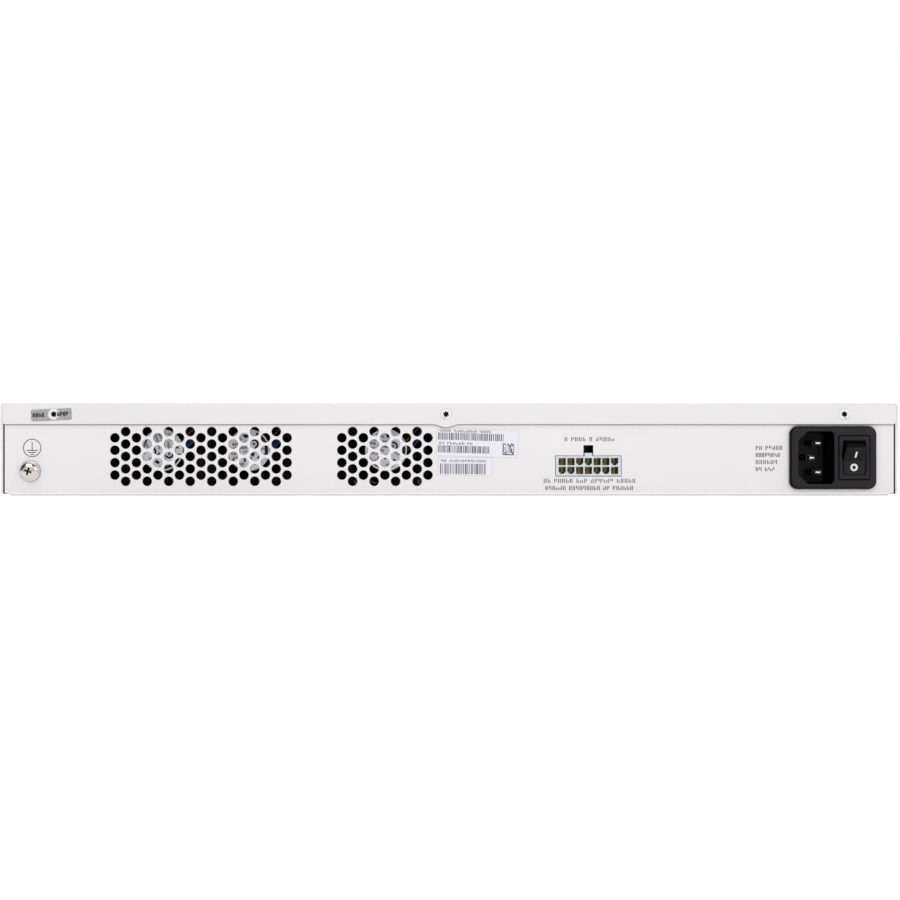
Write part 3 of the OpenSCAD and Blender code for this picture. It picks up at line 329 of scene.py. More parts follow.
WHITE = (0.83, 0.812, 0.82)
PIN_ROOT = 16.6*MM       # depth behind the rear panel at which the pins' roots take a painted glow
SHEET = 1.2*MM           # thickness of the tray and the cover
TRAY_INSET = 0.35*MM     # the painted shade of the unlit inside starts this far inside the tray's faces
COVER_SKIN = 0.05*MM     # and this far into the cover's inner faces
OPEN = 1.0               # a height past the object, where a lining has no limit
tray_low, tray_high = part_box("base_tray")
cover_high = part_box("top_cover")[1]
rear_face = tray_high.y
recipes = (   # maker, name and the maker's settings
    (powder_coat, "tray_paint", WHITE, (
        tray_high.x - TRAY_INSET, rear_face - TRAY_INSET, tray_low.z + TRAY_INSET, OPEN)),
    (powder_coat, "cover_paint", shade(WHITE, 0.97), (
        cover_high.x - SHEET + COVER_SKIN, rear_face - 0.15*MM, -OPEN, cover_high.z - SHEET + COVER_SKIN)),
    (powder_coat, "panel_paint", WHITE),
    # the last setting of black_plastic and black_gloss is painted shade on rounds, sides and gaps
    (moulded, "black_plastic", (0.0145, 0.013, 0.0155), 0.46, 0.22, 0.8),
    (moulded, "fan_plastic", (0.006, 0.006, 0.006), 0.55, 0.12),
    (moulded, "black_gloss", (0.0115, 0.0105, 0.0115), 0.42, 0.2, 0.85, 2200, 0.01*MM),
    (moulded, "grey_plastic", (0.36, 0.37, 0.38), 0.45),
    (moulded, "nylon", (0.72, 0.73, 0.7), 0.45, 0.35, 0.0, 1800, 0.02*MM, 0.1),
    (moulded, "epoxy", (0.025, 0.025, 0.028), 0.55, 0.25, 0.0, 2400),
    (plated, "nickel", (0.83, 0.82, 0.81), 0.2),
    (plated, "screw_nickel", (0.8, 0.74, 0.68), 0.13),
    (ink, "label_ink", (0.075, 0.07, 0.1)),
    # painted shade: the fan bracket is made near black so that the view through the vents stays dark
    (moulded, "black_steel", (0.012, 0.012, 0.013), 0.5, 0.2),
    (end_lit_metal, "dull_brass", (0.3, 0.25, 0.13), (0.06, 0.045, 0.02)),
    # painted shade: dark colours for the faces inside the screws' recesses
    (plated, "recess_brown", (0.16, 0.09, 0.05), 0.3),
    (plated, "recess_dark", (0.012, 0.014, 0.02), 0.25),
    (powder_coat, "screw_white", (0.84, 0.83, 0.84)),
    (plated, "tin", (0.72, 0.72, 0.73), 0.26, (90, 90, 1500)),
    (plated, "gold", (0.86, 0.66, 0.3), 0.2),
    (end_lit_metal, "pin_metal", (0.95, 0.9, 0.8), (0.06, 0.045, 0.03), rear_face - PIN_ROOT),
    (plated, "aluminium", (0.8, 0.81, 0.82), 0.34, (1500, 60, 1500)),
    (spangled, "zinc", (0.62, 0.63, 0.65)),
    (circuit_board, "green_board", (0.012, 0.1, 0.04)),
    (circuit_board, "tan_board", (0.42, 0.3, 0.14)),
    (wound, "copper", (0.5, 0.2, 0.08), (0.12, 0.04, 0.015)),
    (wound, "tape", (0.72, 0.5, 0.08), (0.5, 0.33, 0.05), 300),
    (sleeve_and_can, "sleeve", (0.02, 0.028, 0.07), (0.75, 0.76, 0.78)),
    (clear_moulding, "clear"),
    (header_nylon, "header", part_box("dc_header")[1].y),
    (printed_sheet, "seal_stock", (0.38, 0.38, 0.365), 0.4, 0.1, 0.4),
    (printed_sheet, "label_stock", (0.825, 0.812, 0.868), 0.02),
    (printed_sheet, "fan_stock", (0.95, 0.95, 0.98), 0.06, 0.0, 0.4, 0.13),
    (ink, "dark_ink", (0.02, 0.02, 0.022)),
    (ink, "line_ink", (0.11, 0.11, 0.115)),
    (ink, "grey_ink", (0.085, 0.085, 0.09)),
    (ink, "white_ink", (0.82, 0.82, 0.82)),
    (insulation, "brown_lead", (0.2, 0.07, 0.012)),
    (insulation, "blue_lead", (0.03, 0.06, 0.42)),
    (insulation, "signal_lead", (0.008, 0.06, 0.025)),
    (insulation, "red_lead", (0.5, 0.02, 0.02)),
    (insulation, "black_lead", (0.015, 0.015, 0.015)),
    (insulation, "green_lead", (0.15, 0.4, 0.04)),
)
looks = {name: maker(name, *settings) for maker, name, *settings in recipes}

node_looks = {   # look, and the nodes that wear it
    "tray_paint": "base_tray",
    "cover_paint": "top_cover",
    "panel_paint": "front_panel",
    "nickel": "front_panel_screws rear_cover_screws side_cover_screws ground_screw ground_washer "
              "fan_bearings board_standoffs board_screws",
    "seal_stock": "seal_label",
    "label_stock": "asset_label serial_label",
    "black_plastic": "inlet_housing switch_body",
    "pin_metal": "inlet_pins",
    "black_gloss": "power_rocker",
    "gold": "switch_terminals port_contacts",
    "brown_lead": "ac_wires fan_wires",
    "header": "dc_header",
    "dull_brass": "dc_header_pins",
    "green_board": "dc_input_board main_board",
    "red_lead": "dc_wires",
    "copper": "fan_stators",
    "fan_stock": "fan_labels",
    "black_steel": "fan_bracket",
    "zinc": "fan_screws",
    "epoxy": "port_blocks sfp_connectors console_jack usb_tongue mode_switch board_chips",
    "tin": "port_shields sfp_cage usb_shell fan_1_shaft fan_2_shaft fan_3_shaft",
    "clear": "port_light_pipes status_light_pipes",
    "grey_plastic": "mode_button",
    "aluminium": "switch_heatsink processor_heatsink psu_heatsinks",
    "sleeve": "board_capacitors psu_capacitors",
    "nylon": "board_connectors",
    "tan_board": "psu_board",
    "tape": "psu_transformer",
    "fan_plastic": "fan_1_frame fan_1_rotor fan_2_frame fan_2_rotor fan_3_frame fan_3_rotor",
}
for look, names in node_looks.items():
    for name in names.split():
        nodes[name].data.materials.clear()
        nodes[name].data.materials.append(looks[look])

# ---- mesh building, in millimetres

OUTWARD = {  # where a drawing's x, y and z point, for each face of the object
    "rear": ((-1, 0, 0), (0, 0, 1), (0, 1, 0)), "front": ((1, 0, 0), (0, 0, 1), (0, -1, 0)),
    "plus_x": ((0, 1, 0), (0, 0, 1), (1, 0, 0)), "minus_x": ((0, -1, 0), (0, 0, 1), (-1, 0, 0)),
}


def facing(face, x, y, z, spin=0.0):
    """Matrix from a drawing in millimetres, its z out of the object, to the row frame in metres."""
    turn = Matrix(OUTWARD[face]).transposed().to_4x4()
    spun = Matrix.Rotation(math.radians(spin), 4, "Z")
    return Matrix.Scale(MM, 4) @ Matrix.Translation((x, y, z)) @ turn @ spun


def tilted(degrees, lift=0.0):
    return Matrix.Translation((0, 0, lift)) @ Matrix.Rotation(math.radians(degrees), 4, "X")


def arc(x, y, r, start, end, steps=8):
    return [(x + r*math.cos(math.radians(start + (end - start)*i/steps)),
             y + r*math.sin(math.radians(start + (end - start)*i/steps))) for i in range(steps + 1)]


def rounded(w, h, r, x=0.0, y=0.0, steps=8):
    right, top = w/2 - r, h/2 - r
    return (arc(x + right, y + top, r, 0, 90, steps) + arc(x - right, y + top, r, 90, 180, steps)
            + arc(x - right, y - top, r, 180, 270, steps) + arc(x + right, y - top, r, 270, 360, steps))


def bar(x, y, w, h):
    return [(x - w/2, y - h/2), (x + w/2, y - h/2), (x + w/2, y + h/2), (x - w/2, y + h/2)]


def cross(reach, half):
    return [(half, half), (half, reach), (-half, reach), (-half, half), (-reach, half), (-reach, -half),
            (-half, -half), (-half, -reach), (half, -reach), (half, -half), (reach, -half), (reach, half)]


class Shape:
    """Points and faces gathered into one mesh."""

    def __init__(self):
        self.points = []
        self.faces = []

    def add(self, points, faces):
        first = len(self.points)
        self.points += [tuple(p) for p in points]
        self.faces += [[first + i for i in face] for face in faces]
        return self

    def loft(self, low_outline, low, high_outline, high):
        n = len(low_outline)
        sides = [[i, (i + 1) % n, n + (i + 1) % n, n + i] for i in range(n)]
        return self.add([(x, y, low) for x, y in low_outline] + [(x, y, high) for x, y in high_outline],
                        sides + [list(range(n - 1, -1, -1)), list(range(n, 2*n))])

    def prism(self, outline, low, high):
        return self.loft(outline, low, outline, high)

    def ring(self, x, y, outer, inner, low, high, start=0, end=360, steps=40):
        """Flat ring, or part of one."""
        whole = end - start == 360
        n = steps if whole else steps + 1
        points = []
        for i in range(n):
            a = math.radians(start + (end - start)*i/steps)
            for r, h in ((inner, low), (outer, low), (outer, high), (inner, high)):
                points.append((x + r*math.cos(a), y + r*math.sin(a), h))
        faces = []
        for i in range(n if whole else n - 1):
            a, b = 4*i, 4*((i + 1) % n)
            faces += [[a + k, a + (k + 1) % 4, b + (k + 1) % 4, b + k] for k in range(4)]
        if not whole:
            faces += [[0, 1, 2, 3], [4*n - 4 + k for k in (3, 2, 1, 0)]]
        return self.add(points, faces)

    def spun(self, profile, steps=48):
        """Profile of (radius, height), both ends on the axis."""
        inner = profile[1:-1]
        points = [(0, 0, profile[0][1]), (0, 0, profile[-1][1])]
        for i in range(steps):
            a = 2*math.pi*i/steps
            points += [(r*math.cos(a), r*math.sin(a), h) for r, h in inner]
        n = len(inner)
        faces = []
        for i in range(steps):
            a, b = 2 + n*i, 2 + n*((i + 1) % steps)
            faces += [[a + k, a + k + 1, b + k + 1, b + k] for k in range(n - 1)]
            faces += [[0, a, b], [1, b + n - 1, a + n - 1]]
        return self.add(points, faces)

    def tube(self, path, radius, sides=12, samples=8):
        """Round lead along a smooth curve through the points."""
        knots = [Vector(p) for p in path]
        knots = [2*knots[0] - knots[1]] + knots + [2*knots[-1] - knots[-2]]
        line = []
        for i in range(1, len(knots) - 2):
            a, b, c, d = knots[i - 1:i + 3]
            for k in range(samples):
                t = k/samples
                line.append(0.5*((2*b) + (c - a)*t + (2*a - 5*b + 4*c - d)*t*t + (3*b - a - 3*c + d)*t**3))
        line.append(knots[-2])
        points = []
        side = (line[1] - line[0]).orthogonal().normalized()
        for i, p in enumerate(line):
            along = (line[min(i + 1, len(line) - 1)] - line[max(i - 1, 0)]).normalized()
            side = (side - along*side.dot(along)).normalized()
            up = along.cross(side)
            points += [p + radius*(side*math.cos(2*math.pi*k/sides) + up*math.sin(2*math.pi*k/sides))
                       for k in range(sides)]
        faces = [[sides*i + k, sides*i + (k + 1) % sides, sides*(i + 1) + (k + 1) % sides, sides*(i + 1) + k]
                 for i in range(len(line) - 1) for k in range(sides)]
        faces += [list(range(sides - 1, -1, -1)), [sides*(len(line) - 1) + k for k in range(sides)]]
        return self.add(points, faces)

    def mesh(self):
        made = bpy.data.meshes.new("shape")
        made.from_pydata(self.points, [], self.faces)
        work = bmesh.new()
        work.from_mesh(made)
        bmesh.ops.recalc_face_normals(work, faces=work.faces)
        work.to_mesh(made)
        work.free()
        return made


def carved(body, tool, operation="DIFFERENCE"):
    """Boolean of two meshes."""
    holders = [bpy.data.objects.new("work", m) for m in (body, tool)]
    for holder in holders:
        bpy.context.scene.collection.objects.link(holder)
    step = holders[0].modifiers.new("step", "BOOLEAN")
    step.operation = operation
    step.solver = "EXACT"
    step.object = holders[1]
    bpy.context.view_layer.update()
    made = bpy.data.meshes.new_from_object(holders[0].evaluated_get(bpy.context.evaluated_depsgraph_get()))
    for holder in holders:
        bpy.data.objects.remove(holder)
    return made


def softened(mesh, width, segments=3, where=None, angle=35):
    """Fillets the edges sharper than angle; where picks edges by their two ends."""
    work = bmesh.new()
    work.from_mesh(mesh)
    bmesh.ops.remove_doubles(work, verts=work.verts, dist=1e-4)
    edges = [e for e in work.edges if len(e.link_faces) == 2 and e.calc_face_angle(0) > math.radians(angle)
             and (where is None or where(e.verts[0].co, e.verts[1].co))]
    bmesh.ops.bevel(work, geom=edges, offset=width, segments=segments, profile=0.5, affect="EDGES",
                    clamp_overlap=True)
    work.to_mesh(mesh)
    work.free()
    return mesh


def piece(name, parts, look, stands_for=(), body=ROOT, sharp=32):
    """One shown object from (mesh, matrix) pairs, riding on a body; look may name two materials."""
    work = bmesh.new()
    for mesh, matrix in parts:
        grown = mesh.copy()
        grown.transform(matrix)
        work.from_mesh(grown)
        bpy.data.meshes.remove(grown)
    made = bpy.data.meshes.new(name)
    work.to_mesh(made)
    work.free()
    for face in made.polygons:
        face.use_smooth = True
    made.set_sharp_from_angle(angle=math.radians(sharp))
    thing = bpy.data.objects.new(name, made)
    bpy.context.scene.collection.objects.link(thing)
    for key in look.split():
        thing.data.materials.append(looks[key])
    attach(thing, body)
    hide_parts(*stands_for)
    return thing


# ---- CAD sheet and mouldings: small edge radii

EDGE_RADII = {
    "base_tray": 0.14, "top_cover": 0.16, "front_panel": 0.25, "dc_header": 0.14, "dc_header_pins": 0.1,
    "inlet_pins": 0.22, "ground_washer": 0.12, "sfp_cage": 0.08, "usb_shell": 0.1, "console_jack": 0.15,
    "port_blocks": 0.12, "mode_button": 0.25, "processor_heatsink": 0.2, "switch_heatsink": 0.2,
    "board_chips": 0.15, "board_connectors": 0.3, "psu_heatsinks": 0.3, "psu_capacitors": 0.8,
    "board_capacitors": 0.5, "psu_transformer": 0.4, "usb_tongue": 0.15, "sfp_connectors": 0.15,
    "fan_1_frame": 0.25, "fan_2_frame": 0.25, "fan_3_frame": 0.25, "mode_switch": 0.2,
    "fan_1_rotor": 0.12, "fan_2_rotor": 0.12, "fan_3_rotor": 0.12, "fan_bracket": 0.2,
    "status_light_pipes": 0.1, "port_light_pipes": 0.1, "port_shields": 0.08, "main_board": 0.1,
    "psu_board": 0.1, "dc_input_board": 0.1, "fan_screws": 0.15, "board_screws": 0.15,
}
for name, radius in EDGE_RADII.items():
    weld = nodes[name].modifiers.new("weld", "WELD")
    weld.merge_threshold = 1e-6
    bevel = nodes[name].modifiers.new("edges", "BEVEL")
    bevel.width = radius*MM
    bevel.segments = 2
    bevel.limit_method = "ANGLE"
    bevel.angle_limit = math.radians(38)
    bevel.harden_normals = True
    bevel.use_clamp_overlap = True
    flats = nodes[name].modifiers.new("flats", "WEIGHTED_NORMAL")
    flats.mode = "FACE_AREA"
    flats.weight = 100
    flats.keep_sharp = True
    for face in nodes[name].data.polygons:
        face.use_smooth = True

# ---- screws


def threaded(radius, top, end, pitch=0.5):
    """Profile of a shank, from under the head down to the axis."""
    turns = int((top - end)/pitch) - 1
    line = []
    for i in range(turns):
        line += [(radius, top - i*pitch - 0.1), (radius*0.84, top - (i + 0.5)*pitch - 0.1)]
    return line + [(radius*0.8, end), (0, end)]


HEAD_R = 2.7                               # head of a cover screw
LOBE_R = 1.28                              # mean radius of its recess
DOME_R, DOME_H, DOME_RIM = 4.3, 2.1, 0.6   # head of the earth screw


def flat_screw(length):
    """Countersunk screw with a six-lobed recess, whose faces take the second material, a dark painted shade.
    """
    head = [(0, 0), (HEAD_R - 0.2, 0), (HEAD_R - 0.08, -0.03), (HEAD_R - 0.02, -0.1), (HEAD_R, -0.18),
            (1.56, -1.2)]
    lobes = [(LOBE_R*(1 + 0.17*math.cos(6*a))*math.cos(a), LOBE_R*(1 + 0.17*math.cos(6*a))*math.sin(a))
             for a in (2*math.pi*i/72 for i in range(72))]
    bottom = [(0.86*x, 0.86*y) for x, y in lobes]
    made = carved(Shape().spun(head + threaded(1.45, -1.3, -length)).mesh(),
                  Shape().loft(bottom, -1.5, lobes, 0.02).mesh())
    for face in made.polygons:
        x, y, z = face.center
        face.material_index = int(z < -0.01 and z > -1.55 and math.hypot(x, y) < LOBE_R*1.2)
    return made


def dome_screw():
    """Pan head with a cross recess, whose faces take the second material, a brown painted shade."""
    angles = [math.radians(a) for a in range(8, 90, 8)]
    head = [(0, DOME_H)] + [(DOME_R*math.sin(a), DOME_RIM + (DOME_H - DOME_RIM)*math.cos(a)) for a in angles]
    head += [(DOME_R, DOME_RIM), (DOME_R, 0.3), (DOME_R - 0.1, 0.06), (DOME_R - 0.2, 0.0), (1.95, 0.0)]
    body = Shape().spun(head + threaded(1.95, -0.1, -9, 0.7)).mesh()
    tool = Shape().loft(cross(0.7, 0.3), 0.3, cross(2.1, 0.5), DOME_H + 0.2).mesh()
    made = carved(body, tool)
    for face in made.polygons:
        x, y, z = face.center
        inside = math.hypot(x, y) < 2.0 and z > 0.2
        outward = face.normal.x*x + face.normal.y*y
        face.material_index = int(inside and (face.normal.z < 0.6 and outward < 0.05 or z < 0.5))
    return made


def box_mm(node):
    low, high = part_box(node)
    return low/MM, high/MM


def middle_mm(node):
    """X and Z of the middle of a node's box."""
    low, high = box_mm(node)
    return (low.x + high.x)/2, (low.z + high.z)/2


MIDDLE_SCREW_X = 1.5
lip_low, lip_high = box_mm("rear_cover_screws")
lip_screws = ((lip_low.x + HEAD_R, 24), (MIDDLE_SCREW_X, -18), (lip_high.x - HEAD_R, 40))
piece("lip_screws", [(flat_screw(6), facing("rear", x, lip_high.y, lip_high.z - HEAD_R, spin))
                     for x, spin in lip_screws], "screw_white recess_dark", ("rear_cover_screws",))
side_low, side_high = box_mm("side_cover_screws")
side_z = side_high.z - HEAD_R
side_ys = (side_low.y + HEAD_R, (side_low.y + side_high.y)/2, side_high.y - HEAD_R)
sides = [(flat_screw(6), facing(face, x, y, side_z, 17 + y))
         for face, x in (("plus_x", side_high.x), ("minus_x", side_low.x)) for y in side_ys]
piece("side_screws", sides, "screw_white recess_dark", ("side_cover_screws",))
panel_low, panel_high = box_mm("front_panel_screws")
corners = [(flat_screw(7), facing("front", x, panel_low.y, z, 31 + z + x))
           for x in (panel_low.x + HEAD_R, panel_high.x - HEAD_R)
           for z in (panel_low.z + HEAD_R, panel_high.z - HEAD_R)]
piece("panel_screws", corners, "screw_white recess_dark", ("front_panel_screws",))
ground_x, ground_z = middle_mm("ground_screw")
ground_y = box_mm("ground_screw")[1].y
piece("earth_screw", [(dome_screw(), facing("rear", ground_x, ground_y - DOME_H, ground_z, -17))],
      "screw_nickel recess_brown", ("ground_screw",), sharp=40)

# ---- mains inlet, switch and rocker

inlet_low, inlet_high = box_mm("inlet_housing")
inlet_x, inlet_z = middle_mm("inlet_housing")
inlet_face = inlet_high.y
inlet_place = facing("rear", inlet_x, 0, inlet_z)
inlet_w, inlet_h = inlet_high.x - inlet_low.x, inlet_high.z - inlet_low.z
panel_y = rear_face/MM
SOCKET_X, SOCKET_DEPTH = -8.35, 16.6       # from the flange's middle, and from its face
INLET_BODY = (38.4, 27)                    # width and height behind the panel
SWITCH_BODY, SWITCH_HOLE = (12.8, 20.3), (13.0, 20.5)
BEZEL_DEPTH = 0.8                          # how far the switch's bezel is let into the flange
switch_low, switch_high = box_mm("switch_body")
switch_x, switch_face = (switch_low.x + switch_high.x)/2, switch_high.y
switch_at = inlet_x - switch_x
switch_w, switch_h = switch_high.x - switch_low.x, switch_high.z - switch_low.z


def socket_outline(a=8.65, b=12.65, cut=4.5, r=2.0):
    return (arc(a - r, b - r, r, 0, 90) + [(cut - a, b), (-a, b - cut), (-a, cut - b), (cut - a, -b)]
            + arc(a - r, r - b, r, 270, 360))


def shifted(outline, x, y=0.0):
    return [(px + x, py + y) for px, py in outline]


def inlet_shell():
    flange = Shape().prism(rounded(inlet_w, inlet_h, 3.7, steps=12), panel_y, inlet_face).mesh()
    flange = softened(flange, 1.0, 7, lambda a, b: min(a.z, b.z) > inlet_face - 0.01)
    back = Shape().prism(bar(0, 0, *INLET_BODY), inlet_low.y, panel_y + 0.6).mesh()
    shell = carved(flange, back, "UNION")
    socket = shifted(socket_outline(), SOCKET_X)
    hole = bar(switch_at, 0, *SWITCH_HOLE)
    seat = rounded(switch_w + 0.6, switch_h + 0.6, 0.6, switch_at)
    for outline, floor in ((socket, inlet_face - SOCKET_DEPTH), (hole, inlet_low.y - 1),
                           (seat, inlet_face - BEZEL_DEPTH)):
        shell = carved(shell, Shape().prism(outline, floor, inlet_face + 1).mesh())
    return softened(shell, 0.4, 4, lambda a, b: min(a.z, b.z) > inlet_face - 0.01, 50)


piece("inlet_shell", [(inlet_shell(), inlet_place)], "black_plastic", ("inlet_housing",))

PIVOT_DEPTH, ROCKER_R, EDGE_ANGLE, SKIRT_ANGLE, TILT = 6.0, 10.0, 39.3, 70.0, 13.8
pivot_y = switch_face - PIVOT_DEPTH


def bowed(mid, drop, at, reach, steps=20):
    """Outline with bowed sides: half-width mid, less drop at a height of at."""
    ys = [reach*(2*i/steps - 1) for i in range(steps + 1)]
    return [(mid - drop*(y/at)**2, y) for y in ys] + [(drop*(y/at)**2 - mid, y) for y in reversed(ys)]


def switch_frame():
    bezel = Shape().prism(rounded(switch_w, switch_h, 0.5), inlet_face - BEZEL_DEPTH, switch_face).mesh()
    bezel = softened(bezel, 0.35, 4, lambda a, b: min(a.z, b.z) > switch_face - 0.01)
    body = Shape().prism(bar(0, 0, *SWITCH_BODY), switch_low.y, inlet_face - 0.5).mesh()
    frame_mesh = carved(bezel, body, "UNION")
    drum = Shape().prism(arc(0, 0, ROCKER_R + 0.15, 0, 360, 64)[:-1], -6, 6).mesh()
    drum.transform(Matrix.Translation((0, 0, pivot_y)) @ Matrix.Rotation(math.radians(90), 4, "Y"))
    window = Shape().prism(bowed(5.75, 0.6, 8, 10.4), pivot_y - 11, switch_face + 5).mesh()
    frame_mesh = carved(frame_mesh, carved(drum, window, "INTERSECT"))
    return softened(frame_mesh, 0.22, 3, lambda a, b: min(a.z, b.z) > switch_face - 0.01, 40)


piece("switch_frame", [(switch_frame(), facing("rear", switch_x, 0, inlet_z))], "black_plastic",
      ("switch_body",))


def rocker_cap():
    """Two facets meeting in a shallow valley; heights run along y and depths along z, from the pivot."""
    edge, tilt = math.radians(EDGE_ANGLE), math.radians(TILT)
    valley = ROCKER_R*(math.cos(edge) - math.sin(edge)*math.tan(tilt))
    upper = [(y, z) for z, y in arc(0, 0, ROCKER_R, EDGE_ANGLE, SKIRT_ANGLE, 10)]
    section = [(0, valley)] + [(upper[0][0]*k/4, valley + (upper[0][1] - valley)*k/4) for k in (1, 2, 3)]
    section += upper + [(5, -1.8)]
    section += [(-y, z) for y, z in reversed(section[1:])]
    points = [(side*(5.5 - 0.6*(min(abs(y), 8)/6.33)**2), y, z) for side in (1, -1) for y, z in section]
    n = len(section)
    faces = [[i, (i + 1) % n, n + (i + 1) % n, n + i] for i in range(n)]
    cap = Shape().add(points, faces + [list(range(n)), list(range(2*n - 1, n - 1, -1))]).mesh()
    return softened(cap, 0.4, 5, None, 40), valley


rocker_place = facing("rear", switch_x, pivot_y, inlet_z) @ tilted(TILT)
cap, valley = rocker_cap()
piece("rocker_cap", [(cap, rocker_place)], "black_gloss", ("power_rocker",), "rocker", 25)
upper_facet = rocker_place @ tilted(TILT, valley)
lower_facet = rocker_place @ tilted(-TILT, valley)
stroke = Shape().prism(rounded(0.85, 3.2, 0.15), -0.05, 0.03).mesh()
stroke.transform(Matrix.Translation((0.25, 3.3, 0)) @ Matrix.Rotation(math.radians(-5), 4, "Z"))
marks = [(stroke, upper_facet), (Shape().ring(-0.2, -3.15, 1.78, 0.85, -0.05, 0.03).mesh(), lower_facet)]
piece("rocker_marks", marks, "white_ink", (), "rocker")

# ---- leads

def smooth_leads(name, routes, look, radius, stands_for=()):
    shape = Shape()
    for route in routes:
        shape.tube(route, radius)
    piece(name, [(shape.mesh(), Matrix.Scale(MM, 4))], look, stands_for)


fan_middles = []
for number in "123":
    low, high = box_mm(f"fan_{number}_frame")
    fan_middles.append(((low.x + high.x)/2, (low.z + high.z)/2, high.y, low.y))
stood_for = ("fan_wires",)
LEAD_ROUTES = (  # look, then steps left of and above the hub's middle, the last in the frame's notch
    ("brown_lead", ((-9.4, 3.9), (-11.6, 6.3), (-13.7, 8.6), (-16.0, 10.7), (-19.2, 12.2))),
    ("blue_lead", ((-10.9, 0.0), (-12.2, 1.1), (-14.2, 2.9), (-16.3, 5.3), (-17.3, 8.2), (-19.2, 9.8))),
    ("signal_lead", ((-10.9, 1.5), (-12.3, 2.8), (-14.2, 4.5), (-15.8, 6.7), (-17.0, 9.4), (-19.2, 11.0))),
)
for k, (look, bends) in enumerate(LEAD_ROUTES):
    routes = []
    for x, z, back, front in fan_middles:
        out_x, level = x - 21.1, z + bends[-1][1]
        end_x = out_x + 2*(k - 1)
        route = [(x + dx, back + 0.25, z + dz) for dx, dz in bends[:-1]]
        route += [(x + bends[-1][0], back - 0.5, level), (out_x, back - 4, level), (out_x, back - 12, level),
                  (out_x, front + 4, level), (out_x, front - 3.4, level - 0.4), (end_x, front - 9, level - 7),
                  (end_x, 100, 16), (end_x, 96, 14), (end_x, 92.1, 14)]
        routes.append(route)
    smooth_leads(f"fan_leads_{k + 1}", routes, look, 0.45, stood_for)
    stood_for = ()

terminal_low, terminal_high = box_mm("switch_terminals")
pin_high = box_mm("inlet_pins")[1]
plug_x = -186
mains = (("brown_lead", terminal_low.x + 0.4, terminal_high.z - 2.4, -5),
         ("blue_lead", terminal_high.x - 0.4, terminal_high.z - 2.4, 0),
         ("green_lead", pin_high.x - 3.15, inlet_z, 5))
stood_for = ("ac_wires",)
for look, x, z, step in mains:
    route = [(x, 118.9, z), (x, 116.6, z), (x + 0.3*(plug_x + step - x), 113.5, z - 0.5),
             (plug_x + step, 109, 17), (plug_x + step, 106, 17), (plug_x + step, 104.05, 17)]
    smooth_leads(f"mains_{look}", [route], look, 1.1, stood_for)
    stood_for = ()
stood_for = ("dc_wires",)
for look, rows in (("red_lead", (0, 1)), ("black_lead", (2, 3))):
    routes = []
    for i in rows:
        y, x = -28 + 4*i, -73 + 4*i
        routes.append([(-113.95, y, 16), (-111, y, 16.6), (-106, y, 21.6), (-101, y, 22.6), (-96, y, 21.6),
                       (-91, y, 16.6), (-88.05, y, 16)])
        routes.append([(x, 103.95, 16), (x, 101, 16.4), (x, 98, 19), (x, 96, 19.6), (x, 94, 19),
                       (x, 91, 16.4), (x, 88.05, 16)])
    smooth_leads(f"dc_{look}", routes, look, 0.9, stood_for)
    stood_for = ()

# ---- printed marks

INK_LOW, INK_HIGH = -0.02, 0.03       # print on a panel, sunk a little so that it shows no gap
LABEL_LOW, LABEL_HIGH = 0.1, 0.14     # print on a label, above the face it is stuck to
EARTH_X, EARTH_Z = 200.4, 23.0


def earth_symbol():
    shape = Shape().ring(0, 0, 4.4, 4.0, INK_LOW, INK_HIGH, steps=64)
    shape.prism(bar(0, 0.95, 0.4, 3.9), INK_LOW, INK_HIGH)
    for y, width in ((-1.2, 5.4), (-2.2, 3.7), (-3.1, 1.7)):
        shape.prism(bar(0, y, width, 0.4), INK_LOW, INK_HIGH)
    return shape.mesh()


piece("earth_mark", [(earth_symbol(), facing("rear", EARTH_X, panel_y, EARTH_Z))], "line_ink")

pick = random.Random(41)


def greeked(shape, left, base, width, words, height, pen, low=INK_LOW, high=INK_HIGH):
    """A row of plain strokes in word-sized groups, standing in for print; words lists the pairs in each."""
    pitch = width/(sum(words) + 0.7*(len(words) - 1))
    x = left
    for count in words:
        for _ in range(count):
            for step in (0.2, 0.64):
                tall = height*pick.choice((1.0, 1.0, 0.62))
                middle = base + pick.choice((tall/2, height - tall/2))
                shape.prism(bar(x + step*pitch, middle, pen, tall), low, high)
            x += pitch
        x += 0.7*pitch
    return shape


def printed(name, lines, look="grey_ink", height=2.0, pen=0.38):
    """Print on the rear panel: (X of the left end, Z of the base line, width, words)."""
    parts = [(greeked(Shape(), 0, 0, width, words, height, pen).mesh(), facing("rear", x, panel_y, z))
             for x, z, width, words in lines]
    piece(name, parts, look)


printed("dc_print", [(-55.3, 26.2, 24.4, (1, 4, 1, 5)), (-45.3, 6.2, 44.5, (2, 5, 3, 6, 5)),
                     (-46.1, 2.7, 42.6, (6, 9, 2, 6))])
printed("mains_print", [(-147.2, 22.0, 13.2, (2, 5)), (-147.2, 18.6, 12.0, (8,)), (-147.2, 15.2, 10.8, (6,)),
                        (-147.2, 11.8, 9.4, (2, 3))])


def barcode(shape, left, base, width, height):
    x = left
    while x < left + width:
        w = pick.choice((0.24, 0.24, 0.36, 0.5))
        shape.prism(bar(x + w/2, base + height/2, w, height), LABEL_LOW, LABEL_HIGH)
        x += w + pick.choice((0.26, 0.26, 0.4, 0.55))


def label_line(shape, left, base, width, words, height=1.3, pen=0.3):
    return greeked(shape, left, base, width, words, height, pen, LABEL_LOW, LABEL_HIGH)


CODE_SIDE, CODE_CELL = 12, 0.46   # cells along a side of the square code, and the size of one


